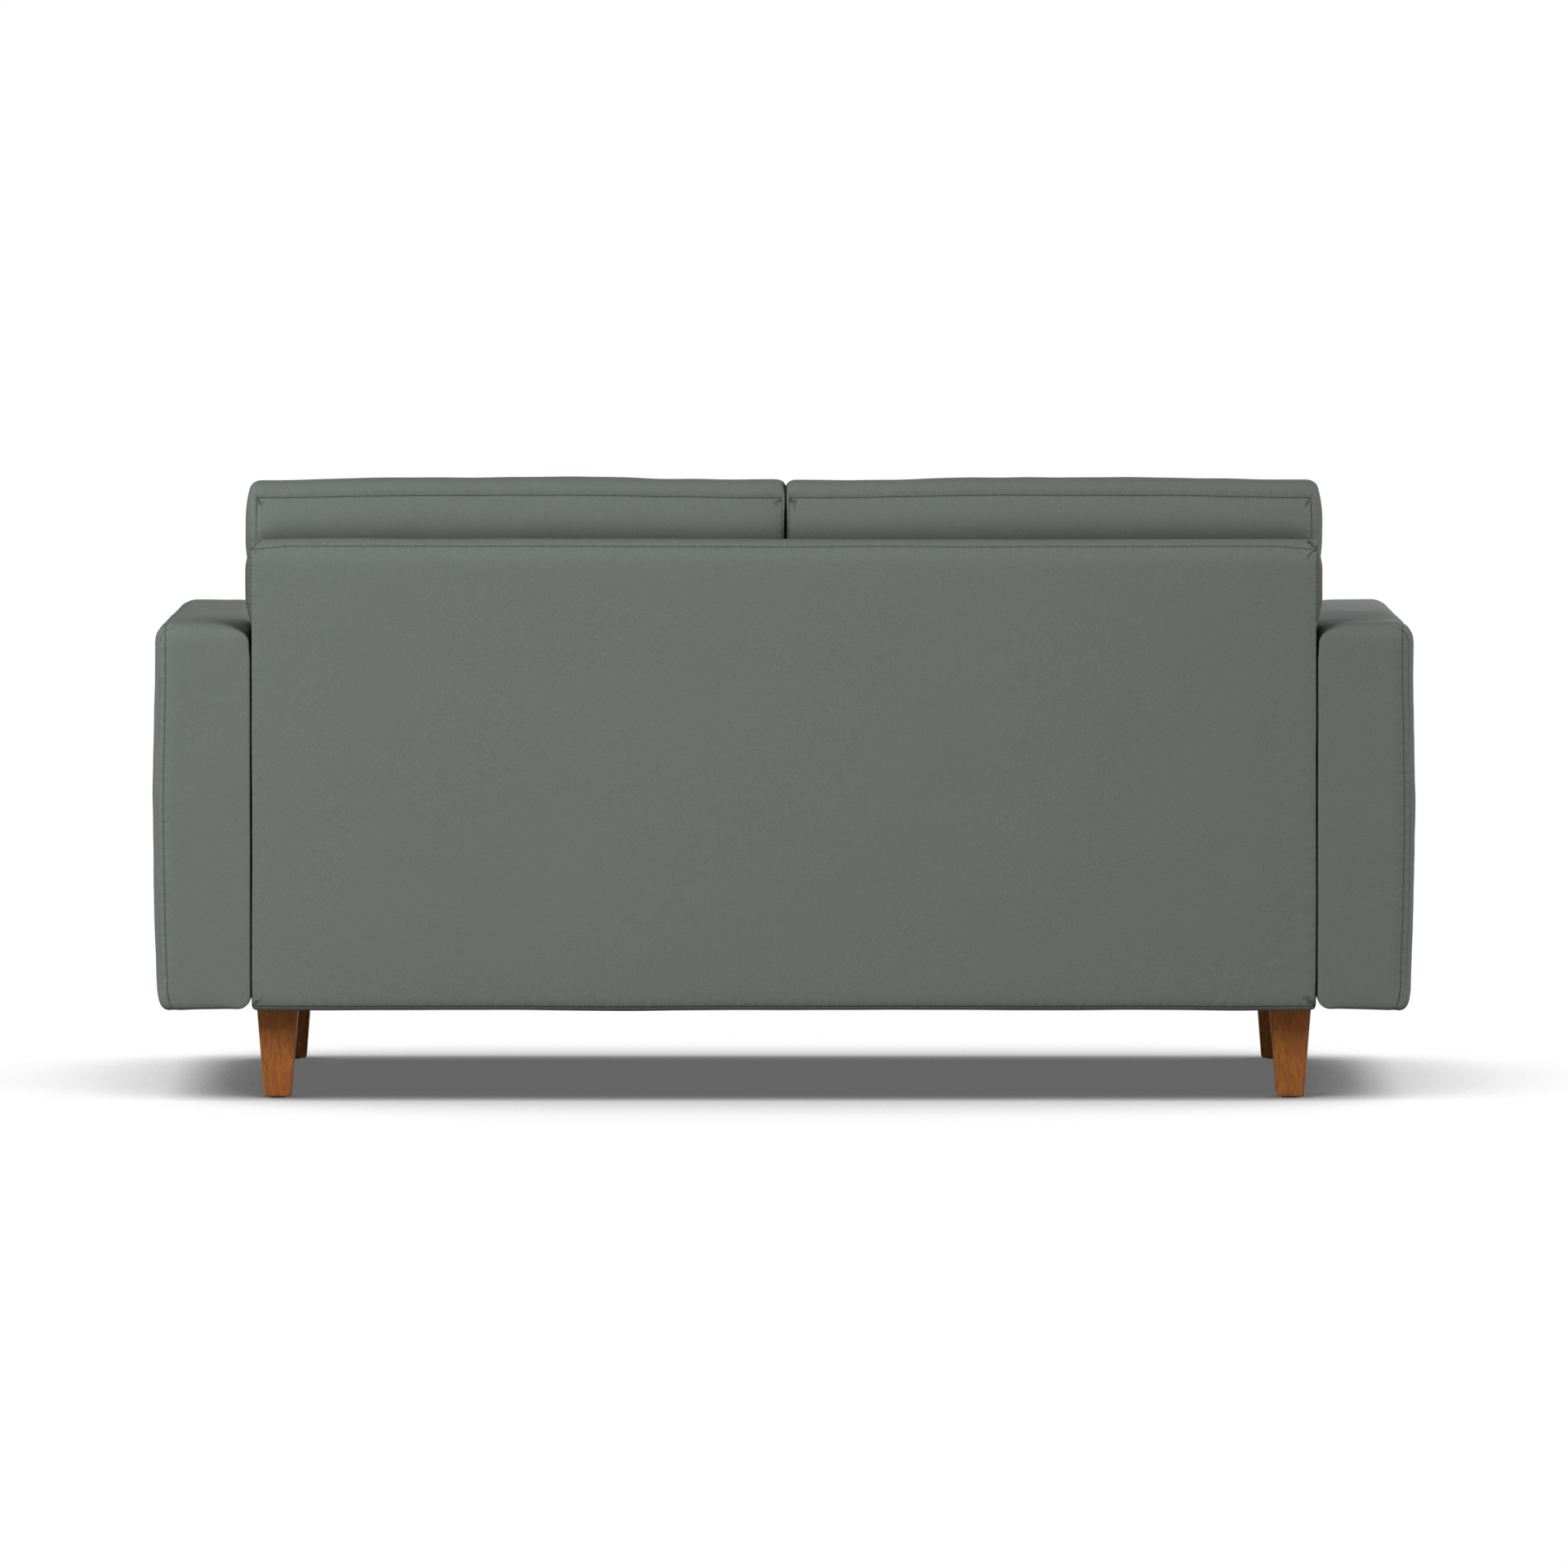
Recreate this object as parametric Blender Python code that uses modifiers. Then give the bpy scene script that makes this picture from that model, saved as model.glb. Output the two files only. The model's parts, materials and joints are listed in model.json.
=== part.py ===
"""Sofa bed: an upholstered two-seat body on four tapered wooden legs, with a three-fold steel
bed in its seat box.

The bed's head section rises on two pairs of parallel links, the middle section turns over
towards the front, and the foot section stays level on it, with legs that swing down under both.

Metres, +Z up. x = 0 is the middle, the seat faces -Y, and z = 0 is the floor. Everything is
modelled closed, as a sofa.
"""

import math

import bmesh
import bpy
from mathutils import Matrix, Vector

# Gaps shared by every piece
SEAT_GAP = 0.0003
RUN_GAP = 0.0006
PIN_CLEARANCE = 0.0003
CUT_OVERRUN = 0.010

# Whole body
BODY_WIDTH = 1.791
UNDERSIDE_HEIGHT = 0.1317

# Arms
ARM_WIDTH = 0.1345
ARM_HEIGHT = 0.5425
ARM_REAR_SETBACK = 0.002
ARM_OUTER_ROUND = 0.034
ARM_INNER_ROUND = 0.026
ARM_END_ROUND = 0.024
ARM_HEM_ROUND = 0.012
ARM_PAD_INNER = 0.012
ARM_PAD_OUTER = 0.020
ARM_PAD_TOP = 0.030
ARM_PAD_ENDS = 0.022
ARM_WEB_THICKNESS = 0.012
ARM_RAIL_WIDTH = 0.045

# Back
BACK_HEIGHT = 0.668
BACK_THICKNESS = 0.1015
BACK_SIDE_GAP = 0.0035
BACK_CREST_ROUND = 0.034
BACK_SIDE_ROUND = 0.014
BACK_HEM_ROUND = 0.010
BACK_PAD_FRONT = 0.018
BACK_PAD_REAR = 0.020
BACK_PAD_TOP = 0.036
BACK_PAD_SIDES = 0.016
BACK_WEB_THICKNESS = 0.010
BACK_RAIL_WIDTH = 0.050
BACK_BAYS = 3

# Base
BASE_PLATE_THICKNESS = 0.003
SIDE_RAIL_THICKNESS = 0.040
SIDE_RAIL_HEIGHT = 0.234
FRONT_RAIL_THICKNESS = 0.025
FRONT_RAIL_HEIGHT = 0.212
REAR_RAIL_THICKNESS = 0.025
RAIL_EDGE_ROUND = 0.003
FRONT_PAD_THICKNESS = 0.008
FRONT_COVER_SETBACK = 0.010
FRONT_COVER_ROUND = 0.007
LEDGE_THICKNESS = 0.019
LEDGE_DEPTH = 0.149

# Legs
LEG_TOP_WIDTH = 0.057
LEG_MIDDLE_WIDTH = 0.051
LEG_FOOT_WIDTH = 0.038
LEG_TAPER_START = 0.055
LEG_EDGE_ROUND = 0.003
LEG_SIDE_INSET = 0.1722
LEG_END_INSET = 0.0955
LEG_PLATE_WIDTH = 0.070
LEG_PLATE_ROUND = 0.006
LEG_STUD_RADIUS = 0.005
GLIDE_RADIUS = 0.012
GLIDE_HEIGHT = 0.0015

# Folded bed: three sections of one size, stacked in the seat box
SECTION_PITCH = 0.620
SECTION_END_GAP = 0.005
STACK_CLEARANCE = 0.0042
FRAME_HEIGHT = 0.030
MATTRESS_THICKNESS = 0.050
MATTRESS_SIDE_INSET = 0.009
MATTRESS_ROUND = 0.012
FIRST_HINGE_SETBACK = 0.042
SECOND_HINGE_CLEARANCE = 0.0242
MIDDLE_FRAME_SETBACK = 0.040
FRAME_BAR_WIDTH = 0.025
FRAME_ROUND = 0.006
SLAT_THICKNESS = 0.008
SLAT_GAP_COUNT = 5
SLAT_GAP_SHARE = 0.46
SLAT_GAP_COLUMNS = 2
SLAT_STRINGER_WIDTH = 0.040
SLAT_GAP_END_INSET = 0.004

# Hinge lugs and pins of the bed
LUG_THICKNESS = 0.0046
LUG_RADIUS = 0.010
LUG_SETBACK = 0.018
LUG_ROOT_DEPTH = 0.005
LUG_BOSS_RADIUS = 0.008
PIN_RADIUS = 0.004

# Lift
LIFT_HEIGHT = 0.270
BASE_PIN_SETBACK = 0.102
HEAD_PIN_INSET = 0.058
LINK_THICKNESS = 0.005
LINK_RADIUS = 0.0125
LINK_SPACING = 0.050
SIDE_PLATE_THICKNESS = 0.004
SIDE_PLATE_MARGIN = 0.024
SIDE_PLATE_ROUND = 0.010
RIVET_HEAD_RADIUS = 0.007
RIVET_HEAD_THICKNESS = 0.0015

# Fold-down legs of the bed
BED_LEG_FLOOR_GAP = 0.0043
BED_LEG_RADIUS = 0.009
BED_LEG_PIVOT_DEPTH = 0.011
BED_LEG_PIVOT_INSET = 0.045
BED_LEG_BAR_FOOT_INSET = 0.027
BED_LEG_BAR_RADIUS = 0.007
MIDDLE_LEG_INSET = 0.0995
FOOT_LEG_INSET = 0.1995
LEG_BRACKET_THICKNESS = 0.004

# Pull bar on the foot section
PULL_BAR_LENGTH = 0.300
PULL_BAR_RADIUS = 0.005
PULL_BAR_HEIGHT = 0.042
PULL_BAR_BEND = 0.020
PULL_BAR_SETBACK = 0.008
MATTRESS_FOOT_CUTBACK = 0.020

# Cushions
CUSHION_TOP = 0.8835
CUSHION_TOP_SMOOTHING = 0.0035
CUSHION_PARTING = 0.003
CUSHION_ARM_GAP = 0.0015
BACK_CUSHION_FRONT_GAP = 0.0025
SEAT_CUSHION_THICKNESS = 0.118
SEAT_CUSHION_OVERHANG = 0.009
CUSHION_CROWN = 0.014
CUSHION_DRAW = 0.006
CUSHION_SEAM_TUCK = 0.007
CUSHION_EDGE_SHARE = 0.90
CUSHION_INNER_SHARE = 0.42
CUSHION_BAND_SHARE = 0.55

# Planes that the sizes above fix, from the floor up
RAIL_LOW = UNDERSIDE_HEIGHT + BASE_PLATE_THICKNESS + 2 * SEAT_GAP
PLATE_LOW = UNDERSIDE_HEIGHT + SEAT_GAP
PLATE_TOP = PLATE_LOW + BASE_PLATE_THICKNESS
STACK_LOW = PLATE_TOP + STACK_CLEARANCE
SECTION_THICKNESS = FRAME_HEIGHT + MATTRESS_THICKNESS
FIRST_HINGE_Z = STACK_LOW + SECTION_THICKNESS
SECOND_HINGE_Z = FIRST_HINGE_Z + SECTION_THICKNESS
STACK_TOP = SECOND_HINGE_Z + SECTION_THICKNESS
SIDE_RAIL_TOP = RAIL_LOW + SIDE_RAIL_HEIGHT
LEDGE_TOP = SIDE_RAIL_TOP + SEAT_GAP + LEDGE_THICKNESS
OPEN_FRAME_LOW = FIRST_HINGE_Z + LIFT_HEIGHT - SECTION_THICKNESS
BED_LEG_LENGTH = OPEN_FRAME_LOW + SEAT_GAP + BED_LEG_PIVOT_DEPTH - BED_LEG_FLOOR_GAP

# Planes from the middle out, on the +X side
BODY_HALF = BODY_WIDTH / 2
ARM_INNER = BODY_HALF - ARM_WIDTH
RAIL_OUTER = ARM_INNER - RUN_GAP
RAIL_INNER = RAIL_OUTER - SIDE_RAIL_THICKNESS
SIDE_PLATE_OUTER = RAIL_INNER - SEAT_GAP
SIDE_PLATE_INNER = SIDE_PLATE_OUTER - SIDE_PLATE_THICKNESS
LINK_OUTER = SIDE_PLATE_INNER - RUN_GAP
LINK_INNER = LINK_OUTER - LINK_THICKNESS
LIFT_STRAP_OUTER = LINK_INNER - RUN_GAP
LIFT_STRAP_INNER = LIFT_STRAP_OUTER - LUG_THICKNESS
BASE_RIVET_INNER = LIFT_STRAP_OUTER - RIVET_HEAD_THICKNESS
OUTER_LUG_OUTER = BASE_RIVET_INNER - RUN_GAP
OUTER_LUG_INNER = OUTER_LUG_OUTER - LUG_THICKNESS
INNER_LUG_OUTER = OUTER_LUG_INNER - RUN_GAP
INNER_LUG_INNER = INNER_LUG_OUTER - LUG_THICKNESS
FRAME_HALF = INNER_LUG_INNER - RUN_GAP
MATTRESS_HALF = FRAME_HALF - MATTRESS_SIDE_INSET
MIDDLE_LEG_X = FRAME_HALF - MIDDLE_LEG_INSET
FOOT_LEG_X = FRAME_HALF - FOOT_LEG_INSET
LEG_X = BODY_HALF - LEG_SIDE_INSET

# Depths from the front of the arms to the rear of the back, about the bed's folded sections
DEPTH_BEFORE_BED = FRONT_COVER_SETBACK + FRONT_PAD_THICKNESS + FRONT_RAIL_THICKNESS + FIRST_HINGE_SETBACK
DEPTH_BEHIND_BED = SECOND_HINGE_CLEARANCE + LEDGE_DEPTH + SEAT_GAP + BACK_THICKNESS
BODY_DEPTH = DEPTH_BEFORE_BED + SECTION_PITCH + DEPTH_BEHIND_BED

# Planes from front to rear
FRONT = -BODY_DEPTH / 2
REAR = BODY_DEPTH / 2
COVER_FRONT = FRONT + FRONT_COVER_SETBACK
FRONT_RAIL_FRONT = COVER_FRONT + FRONT_PAD_THICKNESS
FRONT_RAIL_REAR = FRONT_RAIL_FRONT + FRONT_RAIL_THICKNESS
FIRST_HINGE_Y = FRONT_RAIL_REAR + FIRST_HINGE_SETBACK
SECOND_HINGE_Y = FIRST_HINGE_Y + SECTION_PITCH
SECTION_FRONT = FIRST_HINGE_Y + SECTION_END_GAP
SECTION_REAR = SECOND_HINGE_Y - SECTION_END_GAP
BASE_PIN_Y = FRONT_RAIL_REAR + BASE_PIN_SETBACK
HEAD_PIN_Y = SECOND_HINGE_Y - HEAD_PIN_INSET
LEDGE_FRONT = SECOND_HINGE_Y + SECOND_HINGE_CLEARANCE
REAR_RAIL_REAR = LEDGE_FRONT + LEDGE_DEPTH
BACK_FRONT = REAR_RAIL_REAR + SEAT_GAP
LEG_Y = BODY_DEPTH / 2 - LEG_END_INSET

SIDES = ("left", "right")
ENDS = ("front", "rear")
AXES = "xyz"


def sign(word):
    """The sign of a side's x or of an end's y."""
    return 1 if word in ("left", "rear") else -1


def collection(name):
    """Returns a new collection of the scene."""
    made = bpy.data.collections.new(name)
    bpy.context.scene.collection.children.link(made)
    return made


def clear_scene():
    """Removes every object that the file opened with."""
    for obj in list(bpy.data.objects):
        bpy.data.objects.remove(obj, do_unlink=True)


def finish(name, colour, roughness, metallic=0.0):
    """Returns a Principled material of one colour."""
    made = bpy.data.materials.new(name)
    made.use_nodes = True
    shader = made.node_tree.nodes["Principled BSDF"]
    shader.inputs["Base Color"].default_value = (*colour, 1.0)
    shader.inputs["Roughness"].default_value = roughness
    shader.inputs["Metallic"].default_value = metallic
    made.diffuse_color = (*colour, 1.0)
    return made


clear_scene()
PARTS = collection("sofa_bed")
CUTTERS = collection("cutters")
FABRIC = ((0.140, 0.152, 0.143), 0.95)
TICKING = ((0.62, 0.61, 0.58), 0.90)
WOOD = ((0.30, 0.115, 0.038), 0.45)
TIMBER = ((0.55, 0.40, 0.24), 0.75)
STEEL = ((0.045, 0.047, 0.050), 0.40, 0.6)
ZINC = ((0.50, 0.50, 0.48), 0.35, 1.0)
LINING = ((0.018, 0.018, 0.019), 0.95)
PLASTIC = ((0.02, 0.02, 0.02), 0.55)


def place(name, mesh, look):
    """Puts a mesh in the scene, as a part with its own material or, without a look, as a cutter."""
    obj = bpy.data.objects.new(name, mesh)
    if look is None:
        CUTTERS.objects.link(obj)
        obj.hide_render = True
        obj.display_type = "WIRE"
        return obj
    PARTS.objects.link(obj)
    mesh.materials.append(finish(name + "_finish", *look))
    return obj


def cage(low, high, shares=None):
    """Returns a box mesh, cut by planes at shares of its half sizes from its middle."""
    low, high = Vector(low), Vector(high)
    mesh = bmesh.new()
    bmesh.ops.create_cube(mesh, size=1)
    for axis, places in (shares or {}).items():
        normal = Vector((0, 0, 0))
        normal[AXES.index(axis)] = 1
        for share in places:
            geometry = mesh.verts[:] + mesh.edges[:] + mesh.faces[:]
            bmesh.ops.bisect_plane(mesh, geom=geometry, plane_co=normal * share / 2, plane_no=normal)
    bmesh.ops.scale(mesh, vec=high - low, verts=mesh.verts)
    bmesh.ops.translate(mesh, vec=(low + high) / 2, verts=mesh.verts)
    return mesh


def to_mesh(mesh, name):
    """Turns an editing mesh into mesh data with outward faces."""
    bmesh.ops.recalc_face_normals(mesh, faces=mesh.faces)
    data = bpy.data.meshes.new(name)
    mesh.to_mesh(data)
    mesh.free()
    return data


def block(name, low, high, look=None, rounds=(), segments=3):
    """A box with chosen edges rounded.

    Each round is (axis, side, side, radius): the edges along that axis, on those sides of the
    two other axes in order, where 0 stands for both sides.
    """
    mesh = cage(low, high)
    largest = max((entry[3] for entry in rounds), default=0)
    weight = mesh.edges.layers.float.new("bevel_weight_edge")
    middle = (Vector(low) + Vector(high)) / 2
    for edge in mesh.edges:
        along = edge.verts[1].co - edge.verts[0].co
        axis = max(range(3), key=lambda index: abs(along[index]))
        centre = (edge.verts[0].co + edge.verts[1].co) / 2 - middle
        sides = [math.copysign(1, centre[index]) for index in range(3) if index != axis]
        for key, first, second, radius in rounds:
            if AXES.index(key) == axis and first in (0, sides[0]) and second in (0, sides[1]):
                edge[weight] = radius / largest
    obj = place(name, to_mesh(mesh, name), look)
    if largest:
        bevel = obj.modifiers.new("rounds", "BEVEL")
        bevel.limit_method = "WEIGHT"
        bevel.width = largest
        bevel.segments = segments
    return obj


def rod(name, start, end, radius, look=None, sides=14):
    """A closed cylinder between two points."""
    start, end = Vector(start), Vector(end)
    mesh = bmesh.new()
    bmesh.ops.create_cone(
        mesh, cap_ends=True, segments=sides, radius1=radius, radius2=radius, depth=(end - start).length
    )
    turn = (end - start).to_track_quat("Z", "Y").to_matrix().to_4x4()
    bmesh.ops.transform(mesh, matrix=Matrix.Translation((start + end) / 2) @ turn, verts=mesh.verts)
    return place(name, to_mesh(mesh, name), look)


def curve_mesh(curve, name):
    """Turns a curve into mesh data with welded caps, and removes the curve."""
    obj = bpy.data.objects.new(name, curve)
    PARTS.objects.link(obj)
    graph = bpy.context.evaluated_depsgraph_get()
    data = bpy.data.meshes.new_from_object(obj.evaluated_get(graph))
    bpy.data.objects.remove(obj)
    mesh = bmesh.new()
    mesh.from_mesh(data)
    bmesh.ops.remove_doubles(mesh, verts=mesh.verts, dist=SEAT_GAP / 10)
    bmesh.ops.recalc_face_normals(mesh, faces=mesh.faces)
    mesh.to_mesh(data)
    mesh.free()
    data.materials.clear()
    return data


def arc(centre, radius, start_deg, end_deg, steps):
    """Points of an arc in a plane, both ends included."""
    angles = [math.radians(start_deg + (end_deg - start_deg) * step / steps) for step in range(steps + 1)]
    return [(centre[0] + radius * math.cos(a), centre[1] + radius * math.sin(a)) for a in angles]


def strap_outline(first, second, radius, steps=6):
    """The outline of a bar with round ends, from one pin to the other."""
    heading = math.degrees(math.atan2(second[1] - first[1], second[0] - first[0]))
    return arc(second, radius, heading - 90, heading + 90, steps) + arc(
        first, radius, heading + 90, heading + 270, steps
    )


def plate(name, outline, holes, inner, outer, side, look=None):
    """A flat plate across x, from its outline and its round holes in the YZ plane."""
    curve = bpy.data.curves.new(name, "CURVE")
    curve.dimensions = "2D"
    curve.fill_mode = "BOTH"
    curve.extrude = (outer - inner) / 2
    rings = [outline] + [arc(centre, radius, 360, 360 / 14, 13) for centre, radius in holes]
    for ring in rings:
        spline = curve.splines.new("POLY")
        spline.points.add(len(ring) - 1)
        for point, (across, up) in zip(spline.points, ring):
            point.co = (across, up, 0, 1)
        spline.use_cyclic_u = True
    mesh = curve_mesh(curve, name)
    # The outline's own axes become Y and Z, and the plate's thickness lies along X.
    turn = Matrix(((0, 0, 1, 0), (1, 0, 0, 0), (0, 1, 0, 0), (0, 0, 0, 1)))
    mesh.transform(Matrix.Translation((side * (inner + outer) / 2, 0, 0)) @ turn)
    return place(name, mesh, look)


def combine(obj, tools, operation):
    """Adds one exact Boolean to an object for each tool."""
    for tool in tools:
        boolean = obj.modifiers.new(tool.name, "BOOLEAN")
        boolean.operation = operation
        boolean.solver = "EXACT"
        boolean.object = tool
    return obj


def fuse(obj, *tools):
    """Joins the tools to an object as one body."""
    return combine(obj, tools, "UNION")


def cut(obj, *tools):
    """Takes the tools out of an object."""
    return combine(obj, tools, "DIFFERENCE")


def carrier(name, location=(0, 0, 0), parent=None):
    """An empty on a joint's axis, which carries the pieces that turn or slide there."""
    empty = bpy.data.objects.new(name, None)
    PARTS.objects.link(empty)
    empty.location = location
    if parent:
        hang(empty, parent)
    return empty


def hang(obj, parent):
    """Parents a piece whose place is given in the world, without moving it."""
    place_of_parent = Vector((0, 0, 0))
    above = parent
    while above:
        place_of_parent += above.location
        above = above.parent
    obj.parent = parent
    obj.location -= place_of_parent


def sides():
    """The words and signs of the two sides."""
    return [(word, sign(word)) for word in SIDES]


def spread(side, inner, outer):
    """The x range from inner to outer on one side, low end first."""
    return sorted((side * inner, side * outer))


def sided_block(name, side, x_range, y_range, z_range, look=None, rounds=(), segments=3):
    """A block given on the +X side, whose x sides and rounds turn over with the side."""
    low_x, high_x = spread(side, *x_range)
    turned = [
        (axis, first * side if axis != "x" else first, second, radius)
        for axis, first, second, radius in rounds
    ]
    low = (low_x, y_range[0], z_range[0])
    high = (high_x, y_range[1], z_range[1])
    return block(name, low, high, look, turned, segments)


def arms():
    """Each arm: a padded cover open below, over a frame of rails and a plywood web."""
    low, high = UNDERSIDE_HEIGHT, UNDERSIDE_HEIGHT + ARM_HEIGHT
    front, rear = FRONT, REAR - ARM_REAR_SETBACK
    rounds = (
        ("y", 1, 1, ARM_OUTER_ROUND),
        ("y", -1, 1, ARM_INNER_ROUND),
        ("x", 0, 1, ARM_END_ROUND),
        ("z", 0, 0, ARM_END_ROUND),
        ("y", 0, -1, ARM_HEM_ROUND),
        ("x", 0, -1, ARM_HEM_ROUND),
    )
    frame_x = (ARM_INNER + ARM_PAD_INNER, BODY_HALF - ARM_PAD_OUTER)
    frame_y = (front + ARM_PAD_ENDS, rear - ARM_PAD_ENDS)
    frame_top = high - ARM_PAD_TOP
    web_middle = sum(frame_x) / 2
    for word, side in sides():
        cover = sided_block(
            f"arm_cover_{word}", side, (ARM_INNER, BODY_HALF), (front, rear), (low, high), FABRIC, rounds, 4
        )
        hollow = sided_block(
            f"arm_hollow_{word}",
            side,
            (frame_x[0] - SEAT_GAP, frame_x[1] + SEAT_GAP),
            (frame_y[0] - SEAT_GAP, frame_y[1] + SEAT_GAP),
            (low - CUT_OVERRUN, frame_top + SEAT_GAP),
        )
        cut(cover, hollow)
        frame = sided_block(f"arm_frame_{word}", side, frame_x, frame_y, (PLATE_LOW, frame_top), TIMBER)
        bay_y = (frame_y[0] + ARM_RAIL_WIDTH, frame_y[1] - ARM_RAIL_WIDTH)
        bay_z = (PLATE_LOW + ARM_RAIL_WIDTH, frame_top - ARM_RAIL_WIDTH)
        inner_bay = sided_block(
            f"arm_inner_bay_{word}",
            side,
            (frame_x[0] - CUT_OVERRUN, web_middle - ARM_WEB_THICKNESS / 2),
            bay_y,
            bay_z,
        )
        outer_bay = sided_block(
            f"arm_outer_bay_{word}",
            side,
            (web_middle + ARM_WEB_THICKNESS / 2, frame_x[1] + CUT_OVERRUN),
            bay_y,
            bay_z,
        )
        cut(frame, inner_bay, outer_bay)


def back():
    """The padded back between the arms, its panel frame, and the ledge for the back cushions."""
    half = ARM_INNER - BACK_SIDE_GAP
    low, high = UNDERSIDE_HEIGHT, UNDERSIDE_HEIGHT + BACK_HEIGHT
    rounds = (
        ("x", 0, 1, BACK_CREST_ROUND),
        ("y", 0, 1, BACK_SIDE_ROUND),
        ("z", 0, 0, BACK_SIDE_ROUND),
        ("x", 0, -1, BACK_HEM_ROUND),
        ("y", 0, -1, BACK_HEM_ROUND),
    )
    cover = block("back_cover", (-half, BACK_FRONT, low), (half, REAR, high), FABRIC, rounds, 4)
    frame_half = half - BACK_PAD_SIDES
    frame_y = (BACK_FRONT + BACK_PAD_FRONT, REAR - BACK_PAD_REAR)
    frame_top = high - BACK_PAD_TOP
    hollow = block(
        "back_hollow",
        (-frame_half - SEAT_GAP, frame_y[0] - SEAT_GAP, low - CUT_OVERRUN),
        (frame_half + SEAT_GAP, frame_y[1] + SEAT_GAP, frame_top + SEAT_GAP),
    )
    cut(cover, hollow)
    for word, side in sides():
        cut(cover, leg_plate_notch(f"back_notch_{word}", side, sign("rear")))
    frame = block(
        "back_frame", (-frame_half, frame_y[0], RAIL_LOW), (frame_half, frame_y[1], frame_top), TIMBER
    )
    bay_width = (2 * frame_half - (BACK_BAYS + 1) * BACK_RAIL_WIDTH) / BACK_BAYS
    for bay in range(BACK_BAYS):
        start = -frame_half + BACK_RAIL_WIDTH + bay * (bay_width + BACK_RAIL_WIDTH)
        pocket = block(
            f"back_bay_{bay}",
            (start, frame_y[0] - CUT_OVERRUN, RAIL_LOW + BACK_RAIL_WIDTH),
            (start + bay_width, frame_y[1] - BACK_WEB_THICKNESS, frame_top - BACK_RAIL_WIDTH),
        )
        cut(frame, pocket)
    edge = ("x", 0, 0, RAIL_EDGE_ROUND)
    block(
        "rear_ledge",
        (-RAIL_OUTER, LEDGE_FRONT, SIDE_RAIL_TOP + SEAT_GAP),
        (RAIL_OUTER, REAR_RAIL_REAR, LEDGE_TOP),
        TIMBER,
        (edge,),
        2,
    )


def base():
    """The seat box: four rails, the padded front, the bottom panel and the legs' plates."""
    rounds = (("y", 0, 0, RAIL_EDGE_ROUND),)
    rails_front = FRONT_RAIL_REAR + SEAT_GAP
    for word, side in sides():
        sided_block(
            f"base_side_rail_{word}",
            side,
            (RAIL_INNER, RAIL_OUTER),
            (rails_front, REAR_RAIL_REAR),
            (RAIL_LOW, SIDE_RAIL_TOP),
            TIMBER,
            rounds,
            2,
        )
    cross_rounds = (("x", 0, 0, RAIL_EDGE_ROUND),)
    front_top = RAIL_LOW + FRONT_RAIL_HEIGHT
    block(
        "base_front_rail",
        (-RAIL_OUTER, FRONT_RAIL_FRONT, RAIL_LOW),
        (RAIL_OUTER, FRONT_RAIL_REAR, front_top),
        TIMBER,
        cross_rounds,
        2,
    )
    block(
        "base_rear_rail",
        (-RAIL_INNER + SEAT_GAP, REAR_RAIL_REAR - REAR_RAIL_THICKNESS, RAIL_LOW),
        (RAIL_INNER - SEAT_GAP, REAR_RAIL_REAR, SIDE_RAIL_TOP),
        TIMBER,
        cross_rounds,
        2,
    )
    cover = block(
        "front_rail_cover",
        (-RAIL_OUTER, COVER_FRONT, UNDERSIDE_HEIGHT),
        (RAIL_OUTER, FRONT_RAIL_REAR, front_top + FRONT_PAD_THICKNESS),
        FABRIC,
        (("x", -1, 1, FRONT_COVER_ROUND), ("x", -1, -1, FRONT_COVER_ROUND / 2)),
    )
    slot = block(
        "front_rail_slot",
        (-BODY_HALF, FRONT_RAIL_FRONT - SEAT_GAP, UNDERSIDE_HEIGHT - CUT_OVERRUN),
        (BODY_HALF, FRONT_RAIL_REAR + CUT_OVERRUN, front_top + SEAT_GAP),
    )
    cut(cover, slot)
    panel = block(
        "bottom_panel",
        (-RAIL_OUTER, FRONT_RAIL_FRONT, PLATE_LOW),
        (RAIL_OUTER, REAR_RAIL_REAR, PLATE_TOP),
        LINING,
    )
    for word, side, end_word, end in corners():
        cut(panel, leg_plate_notch(f"panel_notch_{end_word}_{word}", side, end))


def corners():
    """The four corners of the base, as the words and signs of their side and end."""
    return [(word, side, end, sign(end)) for word, side in sides() for end in ENDS]


def leg_centre(side, end):
    """Where a leg stands."""
    return side * LEG_X, end * LEG_Y


def leg_plate_notch(name, side, end):
    """The cutter that leaves room for a leg's plate under the body."""
    centre = leg_centre(side, end)
    reach = LEG_PLATE_WIDTH / 2 + RUN_GAP
    return block(
        name,
        (centre[0] - reach, centre[1] - reach, PLATE_LOW - CUT_OVERRUN),
        (centre[0] + reach, centre[1] + reach, RAIL_LOW + RUN_GAP),
    )


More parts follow.
